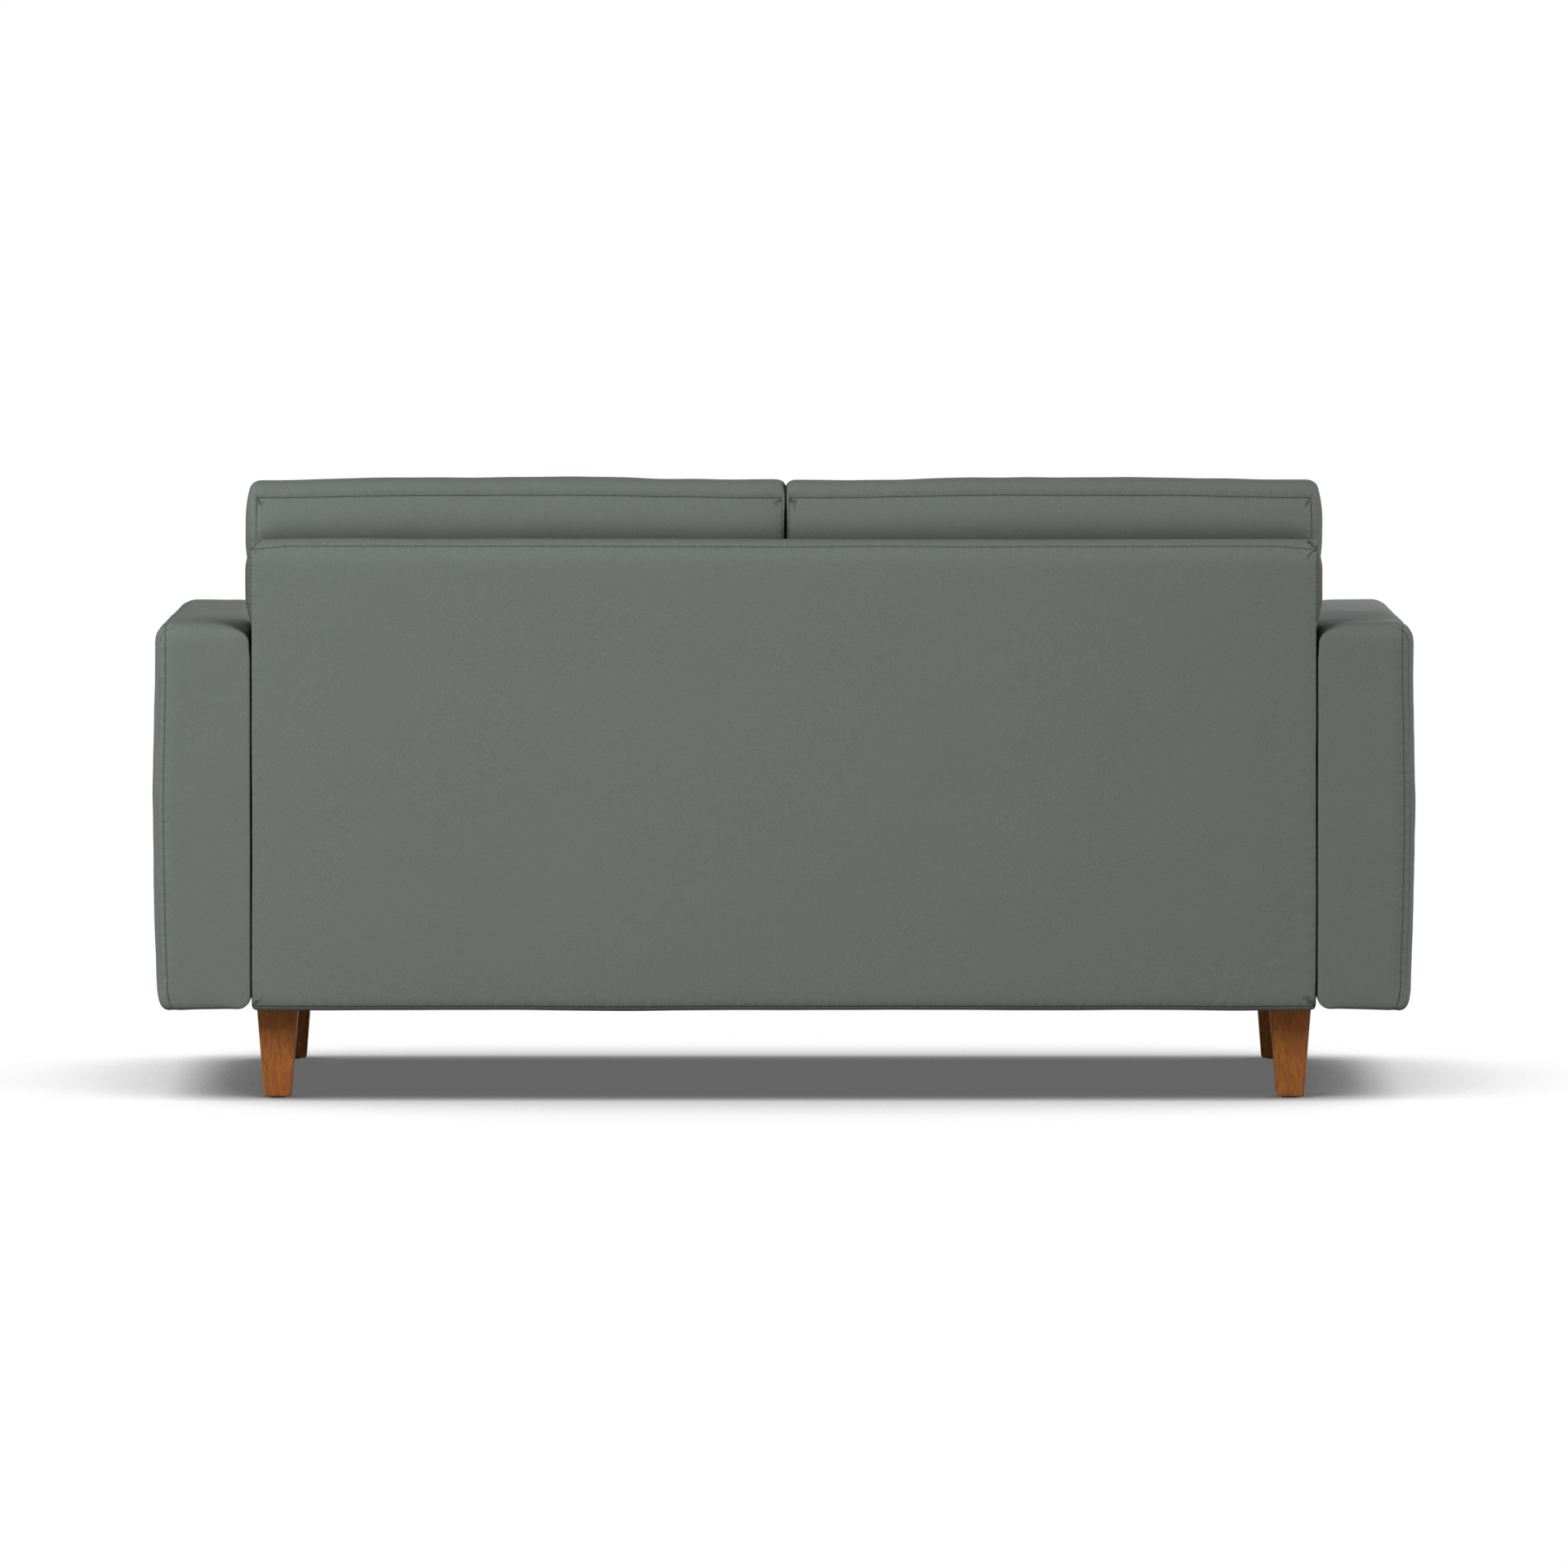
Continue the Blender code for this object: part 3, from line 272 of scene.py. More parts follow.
def make_piece(name: str, points: Array, quads: Array, finish: bpy.types.Material) -> bpy.types.Object:
    """A smooth-shaded mesh object of these points and faces.

    Args:
        name: the piece's name.
        points: one point a row, in metres.
        quads: the faces' point indices.
        finish: its material.

    Returns:
        The new object, linked to the scene.
    """
    mesh = bpy.data.meshes.new(name)
    mesh.from_pydata(points.tolist(), [], quads.tolist())
    mesh.validate()
    mesh.shade_smooth()
    mesh.materials.append(finish)
    piece = bpy.data.objects.new(name, mesh)
    bpy.context.scene.collection.objects.link(piece)
    return piece


def write_field(piece: bpy.types.Object, name: str, values: Array) -> None:
    """Stores one number a point on the piece, for its material to read."""
    layer = piece.data.attributes.new(name, "FLOAT", "POINT")
    layer.data.foreach_set("value", np.asarray(values, np.float32))


# node groups and finishes


@dataclass
class NodeSheet:
    """A node tree that is filled step by step, with short calls for the nodes that repeat.

    Attributes:
        tree: the node tree.
    """

    tree: bpy.types.NodeTree

    def add(self, kind: str, **values: object) -> bpy.types.Node:
        """Adds a node and sets its properties.

        Args:
            kind: the node's type, without the ShaderNode prefix.
            **values: properties of the node.

        Returns:
            The node.
        """
        node = self.tree.nodes.new("ShaderNode" + kind)
        for key, value in values.items():
            setattr(node, key, value)
        return node

    def join(self, source: object, target: Socket) -> None:
        """Feeds a socket from another socket, or sets it to a plain value.

        Args:
            source: the socket or the value.
            target: the socket that is fed.
        """
        if isinstance(source, Socket):
            self.tree.links.new(source, target)
        else:
            target.default_value = source

    def fill(self, node: bpy.types.Node, sources: Iterable[object]) -> bpy.types.Node:
        """Feeds a node's first sockets in order.

        Args:
            node: the node.
            sources: a socket or a value for each.

        Returns:
            The node.
        """
        for source, target in zip(sources, node.inputs):
            self.join(source, target)
        return node

    def math(self, operation: str, *inputs: object) -> Socket:
        """The result of a Math node with these inputs."""
        return self.fill(self.add("Math", operation=operation), inputs).outputs[0]

    def vector_math(self, operation: str, *inputs: object) -> Socket:
        """The result of a Vector Math node with these inputs."""
        outputs = self.fill(self.add("VectorMath", operation=operation), inputs).outputs
        return outputs["Value" if operation == "DOT_PRODUCT" else "Vector"]

    def split(self, where: object) -> Sockets:
        """The three parts of a vector."""
        return self.fill(self.add("SeparateXYZ"), [where]).outputs

    def triple(self, *parts: object) -> Socket:
        """A vector of three parts, or of one part three times."""
        return self.fill(self.add("CombineXYZ"), parts if len(parts) == 3 else parts * 3).outputs[0]

    def ramp(
        self,
        value: object,
        low: float,
        high: float,
        start: object = 0.0,
        end: object = 1.0,
        turn: Turn = Turn.SMOOTH,
    ) -> Socket:
        """A value mapped to another range.

        Args:
            value: the value.
            low: where it starts to change the result.
            high: where it stops.
            start: the result below low.
            end: the result above high.
            turn: how the result changes between them.

        Returns:
            The result.
        """
        node = self.add("MapRange", interpolation_type=turn.value)
        return self.fill(node, (value, low, high, start, end)).outputs[0]

    def blend(self, share: object, first: object, second: object) -> Socket:
        """Two colours mixed.

        Args:
            share: how much of the second one is in the mix.
            first: the first colour.
            second: the second colour.

        Returns:
            The mix.
        """
        node = self.add("Mix", data_type="RGBA")
        for source, name in ((share, "Factor_Float"), (first, "A_Color"), (second, "B_Color")):
            self.join(source, next(socket for socket in node.inputs if socket.identifier == name))
        return next(socket for socket in node.outputs if socket.identifier == "Result_Color")

    def cover(self, mask: Socket, share: float, under: object, over: object) -> Socket:
        """A colour that a share of another covers where a mask says so."""
        return self.blend(self.math("MULTIPLY", mask, share), under, over)

    def noise(self, where: object, scale: object, detail: float = 2.0, rough: float = 0.5) -> Socket:
        """The value of a noise texture.

        Args:
            where: the coordinates it reads.
            scale: how many of its cells fit in a metre.
            detail: how many finer layers it has.
            rough: how much each finer layer adds.

        Returns:
            The value.
        """
        node = self.add("TexNoise")
        sources = {"Vector": where, "Scale": scale, "Detail": detail, "Roughness": rough}
        for name, source in sources.items():
            self.join(source, node.inputs[name])
        return node.outputs[0]

    def place(self) -> Socket:
        """The object coordinates, in metres, which every piece shares with the frame."""
        return self.add("TexCoord").outputs["Object"]

    def field(self, name: str) -> Socket:
        """A number that the piece stores at each point."""
        return self.add("Attribute", attribute_name=name).outputs["Fac"]

    def openness(self, reach: float, samples: int = 16) -> Socket:
        """How open a surface is to its surroundings.

        Args:
            reach: how far away something still shades it.
            samples: how many directions are tried.

        Returns:
            Nought where it is covered, and one where nothing is near.
        """
        node = self.add("AmbientOcclusion", samples=samples)
        node.inputs["Distance"].default_value = reach
        return node.outputs["AO"]

    def seen(self, *kinds: str) -> Socket:
        """One where a ray is of one of these kinds, else nought.

        Args:
            *kinds: the kinds, as Light Path names them.

        Returns:
            The mask.
        """
        path = self.add("LightPath")
        mask, *others = (path.outputs[f"Is {kind} Ray"] for kind in kinds)
        for other in others:
            mask = self.math("MAXIMUM", mask, other)
        return mask


def tinted(colour: Colour, share: float = 1.0) -> tuple[float, float, float, float]:
    """A colour scaled by a share, with full opacity."""
    return (*(channel * share for channel in colour), 1.0)


def preset(node: bpy.types.Node, **values: object) -> None:
    """Sets plain values on a node's sockets, with spaces in their names written as underscores."""
    for name, value in values.items():
        node.inputs[name.replace("_", " ")].default_value = value


class EffectGroup:
    """A shader node group that is built once and placed in each material with its own values.

    Attributes:
        label: the group's name.
        inputs: its inputs and their usual values, apart from Place, which every group has.
        outputs: its outputs.
    """

    label = "effect"
    inputs: dict[str, float] = {}
    outputs: tuple[str, ...] = ("Value",)

    @classmethod
    def tree(cls) -> bpy.types.NodeTree:
        """The group's node tree, made on its first use.

        Returns:
            The tree.
        """
        found = bpy.data.node_groups.get(cls.label)
        if found:
            return found
        tree = bpy.data.node_groups.new(cls.label, "ShaderNodeTree")
        tree.interface.new_socket("Place", in_out="INPUT", socket_type="NodeSocketVector")
        for name, value in cls.inputs.items():
            socket = tree.interface.new_socket(name, in_out="INPUT", socket_type="NodeSocketFloat")
            socket.default_value = value
        for name in cls.outputs:
            tree.interface.new_socket(name, in_out="OUTPUT", socket_type="NodeSocketFloat")
        sheet = NodeSheet(tree)
        start = tree.nodes.new("NodeGroupInput")
        end = tree.nodes.new("NodeGroupOutput")
        for name, result in cls.build(sheet, start.outputs).items():
            sheet.join(result, end.inputs[name])
        return tree

    @classmethod
    def build(cls, sheet: NodeSheet, given: Sockets) -> dict[str, Socket]:
        """Fills the group.

        Args:
            sheet: the group's tree.
            given: the group's input sockets.

        Returns:
            The socket of each output, by name.
        """
        raise NotImplementedError

    @classmethod
    def use(cls, sheet: NodeSheet, where: Socket, **values: object) -> dict[str, Socket]:
        """Places the group in a material.

        Args:
            sheet: the material's tree.
            where: the coordinates it reads.
            **values: its inputs, by name.

        Returns:
            The outputs by name.
        """
        node = sheet.tree.nodes.new("ShaderNodeGroup")
        node.node_tree = cls.tree()
        for name, value in {"Place": where, **values}.items():
            sheet.join(value, node.inputs[name])
        return {name: node.outputs[name] for name in cls.outputs}


class WeaveGroup(EffectGroup):
    """Threads of a plain weave, read on the plane that the surface faces most."""

    label = "plain_weave"
    inputs = {"Pitch": 0.0016, "Slub": 0.5}
    outputs = ("Height", "Tone")
    slub_scale = 90.0
    fleck_scale = 420.0
    fleck_rough = 0.65

    @classmethod
    def build(cls, sheet: NodeSheet, given: Sockets) -> dict[str, Socket]:
        """Adds the weave of the three planes by how far the surface faces each.

        Args:
            sheet: the group's tree.
            given: the group's input sockets.

        Returns:
            The height of the threads, and the tone of their flecks.
        """
        where = given["Place"]
        scale = sheet.math("DIVIDE", math.pi, given["Pitch"])
        slub = sheet.math("MULTIPLY", sheet.noise(where, cls.slub_scale), given["Slub"])
        waves = []
        for part in sheet.split(where):
            turn = sheet.math("ADD", sheet.math("MULTIPLY", part, scale), slub)
            waves.append(sheet.math("ABSOLUTE", sheet.math("SINE", turn)))
        facing = sheet.split(sheet.add("NewGeometry").outputs["Normal"])
        height: object = 0.0
        for index, part in enumerate(facing):
            cross = sheet.math("MULTIPLY", waves[(index + 1) % 3], waves[(index + 2) % 3])
            weight = sheet.math("POWER", sheet.math("ABSOLUTE", part), 2.0)
            height = sheet.math("ADD", height, sheet.math("MULTIPLY", cross, weight))
        return {"Height": height, "Tone": sheet.noise(where, cls.fleck_scale, 3.0, cls.fleck_rough)}


class SeamGroup(EffectGroup):
    """A sewn seam along a line: a narrow groove, its stitches, and small puckers beside it."""

    label = "sewn_seam"
    inputs = {"Gap": 1.0, "Run": 0.0, "Width": 0.0016, "Stitch": 0.006, "Pucker": 0.018}
    outputs = ("Height", "Shade")
    pucker_reach = 0.016
    pucker_height = 0.28
    wander_scale = 45.0
    wander_turn = 9.0
    stitch_share = 0.25

    @classmethod
    def build(cls, sheet: NodeSheet, given: Sockets) -> dict[str, Socket]:
        """Reads the distance from the seam and how far along it a point is.

        Args:
            sheet: the group's tree.
            given: the group's input sockets.

        Returns:
            The height of the cloth beside the seam, and how deep in the seam a point is.
        """
        away = sheet.math("ABSOLUTE", given["Gap"])
        groove = sheet.math("SUBTRACT", 1.0, sheet.ramp(away, 0.0, given["Width"]))
        turn = sheet.math("MULTIPLY", given["Run"], sheet.math("DIVIDE", 2 * math.pi, given["Stitch"]))
        dash = sheet.ramp(sheet.math("SINE", turn), -0.2, 0.5)
        near = sheet.math("SUBTRACT", 1.0, sheet.ramp(away, 0.0, cls.pucker_reach))
        wander = sheet.noise(given["Place"], cls.wander_scale, 1.0)
        wave = sheet.math("MULTIPLY", given["Run"], sheet.math("DIVIDE", 2 * math.pi, given["Pucker"]))
        wave = sheet.math("ADD", wave, sheet.math("MULTIPLY", wander, cls.wander_turn))
        pucker = sheet.math("MULTIPLY", sheet.math("SINE", wave), near)
        pucker = sheet.math("MULTIPLY", pucker, cls.pucker_height)
        depth = sheet.math("ADD", 1 - cls.stitch_share, sheet.math("MULTIPLY", dash, cls.stitch_share))
        cut = sheet.math("MULTIPLY", groove, depth)
        return {"Height": sheet.math("SUBTRACT", pucker, cut), "Shade": cut}


class GrainGroup(EffectGroup):
    """Wood grain along the coordinates' z: broad figure, fine fibres and dark pores."""

    label = "wood_grain"
    inputs = {"Figure": 14.0, "Fibre": 160.0}
    outputs = ("Figure", "Fibre", "Pore")
    cells_a_line = 5.0
    ring_turn = 34.0
    drift_scale = (9.0, 9.0, 7.0)
    drift_reach = (0.030, 0.030, 0.0)
    figure_stretch = (1.0, 1.0, 0.20)
    fibre_stretch = (1.0, 1.0, 0.035)
    pore_scale = (900.0, 900.0, 60.0)

    @classmethod
    def build(cls, sheet: NodeSheet, given: Sockets) -> dict[str, Socket]:
        """Stretches noise along the grain, which drifts sideways on its way.

        Args:
            sheet: the group's tree.
            given: the group's input sockets.

        Returns:
            The figure, the fibres and the pores, each from nought to one.
        """
        where = given["Place"]
        drift = sheet.noise(sheet.vector_math("MULTIPLY", where, cls.drift_scale), 1.0)
        bent = sheet.vector_math("ADD", where, sheet.vector_math("MULTIPLY", drift, cls.drift_reach))
        figure_scale = sheet.math("MULTIPLY", given["Figure"], cls.cells_a_line)
        figure = sheet.noise(sheet.vector_math("MULTIPLY", bent, cls.figure_stretch), figure_scale, 3.0)
        fibre_scale = sheet.math("MULTIPLY", given["Fibre"], cls.cells_a_line)
        fibre = sheet.noise(sheet.vector_math("MULTIPLY", bent, cls.fibre_stretch), fibre_scale)
        pores = sheet.noise(sheet.vector_math("MULTIPLY", bent, cls.pore_scale), 1.0, 1.0)
        rings = sheet.math("SINE", sheet.math("MULTIPLY", figure, cls.ring_turn))
        lines, dots = sheet.ramp(rings, -1.0, 1.0), sheet.ramp(pores, 0.60, 0.72)
        return {"Figure": lines, "Fibre": fibre, "Pore": dots}


class WearGroup(EffectGroup):
    """Soft handling wear and dust: a mask of broad patches, and fine noise to break it up."""

    label = "handling_wear"
    inputs = {"Patch": 6.0, "Break": 70.0}
    outputs = ("Patch", "Fine")

    @classmethod
    def build(cls, sheet: NodeSheet, given: Sockets) -> dict[str, Socket]:
        """Reads broad and fine noise.

        Args:
            sheet: the group's tree.
            given: the group's input sockets.

        Returns:
            The mask of the patches, and the fine noise.
        """
        broad = sheet.noise(given["Place"], given["Patch"])
        fine = sheet.noise(given["Place"], given["Break"], 4.0)
        return {"Patch": sheet.ramp(broad, 0.35, 0.65), "Fine": fine}


@dataclass(frozen=True)
class Finish:
    """A surface finish, which makes its material once.

    Attributes:
        name: its name.
        colour: its colour.
        roughness: how matt it is.
    """

    name: str
    colour: Colour
    roughness: float = 0.6

    def material(self) -> bpy.types.Material:
        """The finish's material, made on its first use.

        Returns:
            The material.
        """
        found = bpy.data.materials.get(self.name)
        if found:
            return found
        made = bpy.data.materials.new(self.name)
        made.use_nodes = True
        made.diffuse_color = tinted(self.colour)
        shader = made.node_tree.nodes["Principled BSDF"]
        preset(shader, Base_Color=tinted(self.colour), Roughness=self.roughness)
        self.dress(NodeSheet(made.node_tree), shader)
        return made

    def dress(self, sheet: NodeSheet, shader: bpy.types.Node) -> None:
        """Adds the finish's own detail.

        Args:
            sheet: the material's tree.
            shader: its Principled shader.
        """
        raise NotImplementedError

    def emboss(
        self, sheet: NodeSheet, shader: bpy.types.Node, layers: Sequence[tuple[Socket, float, float]]
    ) -> None:
        """Feeds the shader's normal from heights, one Bump node each.

        Args:
            sheet: the material's tree.
            shader: its Principled shader.
            layers: a height, its distance in metres, and its strength, for each layer.
        """
        last: Optional[Socket] = None
        for height, distance, strength in layers:
            bump = sheet.add("Bump")
            preset(bump, Distance=distance, Strength=strength)
            sheet.join(height, bump.inputs["Height"])
            if last is not None:
                sheet.join(last, bump.inputs["Normal"])
            last = bump.outputs[0]
        sheet.join(last, shader.inputs["Normal"])


@dataclass(frozen=True)
class ClothFinish(Finish):
    """Woven upholstery cloth with sewn seams, with shade painted into its colour where other parts are
    near it.

    Attributes:
        pitch: from thread to thread.
        fleck: how far its tone varies.
        sheen: how much light its loose fibres scatter.
        sheen_tint: the colour of that light.
        seams: whether it has sewn seams.
        worn: how far broad patches of it are paler.
        gaps: how much darker it is between its threads.
        seam_shade: how dark its seams are.
        fold_reach: how far from its surface something still adds painted shade to its colour.
        fold_shade: how dark the painted shade is where the surface is most hidden.
    """

    pitch: float = 0.0016
    fleck: float = 0.092
    sheen: float = 0.02
    sheen_tint: Colour = (0.75, 0.8, 0.77)
    seams: bool = True
    worn: float = 0.05
    gaps: float = 0.10
    seam_shade: float = 0.55
    fold_reach: float = 0.17
    fold_shade: float = 0.72

    def dress(self, sheet: NodeSheet, shader: bpy.types.Node) -> None:
        """Adds the weave, its flecks, the seams, painted shade where other parts are near, and a faint
        sheen.

        Args:
            sheet: the material's tree.
            shader: its Principled shader.
        """
        where = sheet.place()
        weave = WeaveGroup.use(sheet, where, Pitch=self.pitch)
        wear = WearGroup.use(sheet, where, Patch=3.0)
        between = sheet.math("SUBTRACT", 1.0, weave["Height"])
        dark, pale = tinted(self.colour, 1 - self.fleck), tinted(self.colour, 1 + self.fleck)
        colour = sheet.blend(sheet.ramp(weave["Tone"], 0.25, 0.75), dark, pale)
        colour = sheet.cover(wear["Patch"], self.worn, colour, tinted(self.colour, 1.35))
        colour = sheet.cover(between, self.gaps, colour, tinted(self.colour, 0.45))
        layers = [(weave["Height"], 0.0004, 0.5), (wear["Fine"], 0.0006, 0.12)]
        if self.seams:
            seam = SeamGroup.use(sheet, where, Gap=sheet.field(SEAM_GAP), Run=sheet.field(SEAM_RUN))
            colour = sheet.cover(seam["Shade"], self.seam_shade, colour, tinted(self.colour, 0.22))
            layers.insert(0, (seam["Height"], 0.0014, 0.9))
        # Painted shade: the colour darkens towards a dark tint where ambient occlusion finds other parts
        # near, standing in for the shade that falls there.
        shade = sheet.ramp(sheet.openness(self.fold_reach, 6), 0.30, 0.99, self.fold_shade, 0.0)
        sheet.join(sheet.blend(shade, colour, tinted(self.colour, 0.12)), shader.inputs["Base Color"])
        preset(shader, Sheen_Weight=self.sheen, Sheen_Roughness=0.55, Sheen_Tint=tinted(self.sheen_tint))
        preset(shader, Specular_IOR_Level=0.10)
        self.emboss(sheet, shader, layers)


@dataclass(frozen=True)
class WoodFinish(Finish):
    """Wood, stained and lacquered or raw.

    Attributes:
        dark: the colour of its pores.
        coat: how much lacquer it has.
        along: which way its grain runs.
        figure: how close together its figure's lines are.
        relief: how deep its grain is.
    """

    dark: Colour = (0.10, 0.035, 0.012)
    coat: float = 0.06
    along: Axis = Axis.Z
    figure: float = 14.0
    relief: float = 0.0003

    def dress(self, sheet: NodeSheet, shader: bpy.types.Node) -> None:
        """Adds figure, fibres and pores, with a coat of lacquer.

        Args:
            sheet: the material's tree.
            shader: its Principled shader.
        """
        parts = sheet.split(sheet.place())
        order = {Axis.Z: (0, 1, 2), Axis.X: (1, 2, 0), Axis.Y: (0, 2, 1)}[self.along]
        where = sheet.triple(*(parts[index] for index in order))
        grain = GrainGroup.use(sheet, where, Figure=self.figure)
        colour = sheet.cover(grain["Figure"], 0.5, tinted(self.colour, 1.12), tinted(self.colour, 0.62))
        fibre = sheet.ramp(grain["Fibre"], 0.35, 0.75)
        colour = sheet.cover(fibre, 0.45, colour, tinted(self.dark, 1.6))
        colour = sheet.cover(grain["Pore"], 0.35, colour, tinted(self.dark))
        sheet.join(colour, shader.inputs["Base Color"])
        rough = sheet.ramp(grain["Fibre"], 0.2, 0.8, self.roughness - 0.08, self.roughness + 0.1)
        sheet.join(rough, shader.inputs["Roughness"])
        preset(shader, Coat_Weight=self.coat, Coat_Roughness=0.25, Specular_IOR_Level=0.14)
        height = sheet.math("SUBTRACT", grain["Fibre"], sheet.math("MULTIPLY", grain["Pore"], 0.6))
        self.emboss(sheet, shader, [(height, self.relief, 0.6)])


@dataclass(frozen=True)
class MetalFinish(Finish):
    """Plated or powder-coated metal.

    Attributes:
        metallic: one for bare or plated metal, nought under a coat.
        texture: how fine the peel of its surface is.
        relief: how deep that is.
        scuff: the colour of its scuffs.
        scuff_share: how strong they are.
    """

    metallic: float = 1.0
    texture: float = 900.0
    relief: float = 0.00008
    scuff: Colour = (0.3, 0.3, 0.29)
    scuff_share: float = 0.12

    def dress(self, sheet: NodeSheet, shader: bpy.types.Node) -> None:
        """Adds a fine orange peel, cloudy roughness and light scuffs.

        Args:
            sheet: the material's tree.
            shader: its Principled shader.
        """
        where = sheet.place()
        wear = WearGroup.use(sheet, where, Patch=22.0, Break=240.0)
        scuffed = sheet.math("MULTIPLY", sheet.ramp(wear["Fine"], 0.58, 0.72), wear["Patch"])
        colour = sheet.cover(scuffed, self.scuff_share, tinted(self.colour), tinted(self.scuff))
        sheet.join(colour, shader.inputs["Base Color"])
        preset(shader, Metallic=self.metallic)
        rough = sheet.ramp(wear["Fine"], 0.2, 0.8, self.roughness - 0.1, self.roughness + 0.1)
        sheet.join(rough, shader.inputs["Roughness"])
        self.emboss(sheet, shader, [(sheet.noise(where, self.texture), self.relief, 0.5)])


@dataclass(frozen=True)
class MouldedFinish(Finish):
    """Moulded plastic with a fine grained face."""

    def dress(self, sheet: NodeSheet, shader: bpy.types.Node) -> None:
        """Adds a fine grain and slight cloudiness.

        Args:
            sheet: the material's tree.
            shader: its Principled shader.
        """
        where = sheet.place()
        wear = WearGroup.use(sheet, where, Patch=40.0, Break=300.0)
        colour = sheet.cover(wear["Fine"], 0.2, tinted(self.colour), tinted(self.colour, 1.8))
        sheet.join(colour, shader.inputs["Base Color"])
        self.emboss(sheet, shader, [(sheet.noise(where, 1500.0), 0.0001, 0.4)])


class Finishes:
    """Every finish of the sofa bed, by the record's material slots."""

    fabric = ClothFinish("fabric_grey_weave", (0.150, 0.166, 0.154), 0.92)
    ticking = ClothFinish(
        "mattress_ticking", (0.62, 0.61, 0.58), 0.9, pitch=0.0011, fleck=0.04, sheen=0.05
    )
    lining = ClothFinish(
        "black_lining", (0.018, 0.018, 0.019), 0.95, pitch=0.0011, sheen=0.05, seams=False
    )
    leg_wood = WoodFinish("stained_leg_wood", (0.335, 0.112, 0.025), 0.55, coat=0.02)
    timber = WoodFinish(
        "raw_timber", (0.56, 0.41, 0.25), 0.75, (0.36, 0.24, 0.13), coat=0.0, along=Axis.X, figure=5.0
    )
    stained_timber = WoodFinish(
        "stained_timber",
        (0.052, 0.044, 0.036),
        0.7,
        (0.02, 0.016, 0.013),
        coat=0.0,
        along=Axis.Y,
        figure=5.0,
    )
    bed_steel = MetalFinish("bed_powder_coat", (0.045, 0.047, 0.050), 0.5, metallic=0.0)
    zinc = MetalFinish("zinc_plate", (0.50, 0.50, 0.48), 0.38, scuff=(0.62, 0.61, 0.56))
    glide = MouldedFinish("glide_plastic", (0.02, 0.02, 0.02), 0.45)


# padded covers


@dataclass
class PaddedForm:
    """A rounded block under cloth, whose edges each have their own radius.

    Attributes:
        low: the lowest corner.
        high: the highest corner.
        along: the axis that the outline is drawn across.
        corners: radii of the outline's corners, low-low, high-low, low-high, high-high.
        ends: radii of the edges at the low and high end of the axis.
        step: the widest grid spacing.
        tight: the side, as the sign of the first axis across, where the high end's edge is sharp, or 0.
        tight_radius: the radius of that edge.
        tight_reach: how far from that side, or from the bottom, the radius grows to its full size.
        hem_radius: the radius of the end edges at the bottom, or 0 where they are as elsewhere.
    """

    low: Array
    high: Array
    along: Axis
    corners: Sequence[float]
    ends: Span
    step: float = 0.008
    tight: int = 0
    tight_radius: float = 0.002
    tight_reach: float = 0.045
    hem_radius: float = 0.0

    def across(self) -> tuple[int, int]:
        """The two axes that the outline lies in."""
        first, second = (axis for axis in range(3) if axis != self.along.value)
        return first, second

    def end_radius(self, points: Array, radius: float, tight: int) -> Array | float:
        """The radius of the end's edges at each point.

        Args:
            points: where it is read.
            radius: the radius away from the tight side and the hem.
            tight: the sharp side at this end, or 0.

        Returns:
            The radius, one a point where it varies.
        """
        grown: Array | float = radius
        if self.hem_radius:
            share = smooth_step(0.0, self.tight_reach, points[:, 2] - self.low[2])
            grown = self.hem_radius + (radius - self.hem_radius) * share
        if tight:
            first = self.across()[0]
            from_low, from_high = points[:, first] - self.low[first], self.high[first] - points[:, first]
            share = smooth_step(0.0, self.tight_reach, from_low if tight < 0 else from_high)
            grown = self.tight_radius + (grown - self.tight_radius) * share
        return grown

    def outline(self, points: Array) -> Array:
        """The signed distance to the outline, in the plane across the axis.

        Args:
            points: where it is read.

        Returns:
            One distance a point.
        """
        middle = (self.low + self.high) / 2
        half = (self.high - self.low) / 2
        away = points - middle
        first, second = self.across()
        radius = np.choose((away[:, first] > 0) + 2 * (away[:, second] > 0), self.corners)
        gaps = np.abs(away) - half
        return round_join(gaps[:, first], gaps[:, second], radius)

    def solid(self, points: Array) -> Array:
        """The signed distance to the rounded block.

        Args:
            points: where it is read.

        Returns:
            One distance a point.
        """
        axis = self.along.value
        body = self.outline(points)
        low_radius = self.end_radius(points, self.ends[0], 0)
        high_radius = self.end_radius(points, self.ends[1], self.tight)
        low_side = round_join(body, self.low[axis] - points[:, axis], low_radius)
        high_side = round_join(body, points[:, axis] - self.high[axis], high_radius)
        middle = (self.low[axis] + self.high[axis]) / 2
        return np.where(points[:, axis] < middle, low_side, high_side)

    def surface(self) -> tuple[Array, Array, Array]:
        """The block's surface.

        Returns:
            Its points, their faces and their normals.
        """
        lines = [graded(low, high, self.step) for low, high in zip(self.low, self.high)]
        points, quads = lattice(*lines)
        points = settle(self.solid, points)
        return points, quads, slope_of(self.solid, points)


@dataclass
class Padding:
    """What a padded cover stands for.

    Attributes:
        node: the CAD node that it replaces.
        body: the body that it rides on.
        fill: how full of padding it is; not used.
        slot: its material slot; not used.
        finish: its finish.
    """

    node: str
    body: str
    fill: float
    slot: str = "fabric"
    finish: Finish = Finishes.fabric

    def wrap(self, name: str, points: Array, quads: Array, gap: Array, run: Array) -> bpy.types.Object:
        """Makes the cover.

        Args:
            name: its name.
            points: its points.
            quads: its faces.
            gap: how far each point is from the nearest seam.
            run: how far along the seam it is.

        Returns:
            The cover, in the place of its CAD node.
        """
        piece = make_piece(name, points, quads, self.finish.material())
        write_field(piece, SEAM_GAP, gap)
        write_field(piece, SEAM_RUN, run)
        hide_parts(self.node)
        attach(piece, self.body)
        return piece


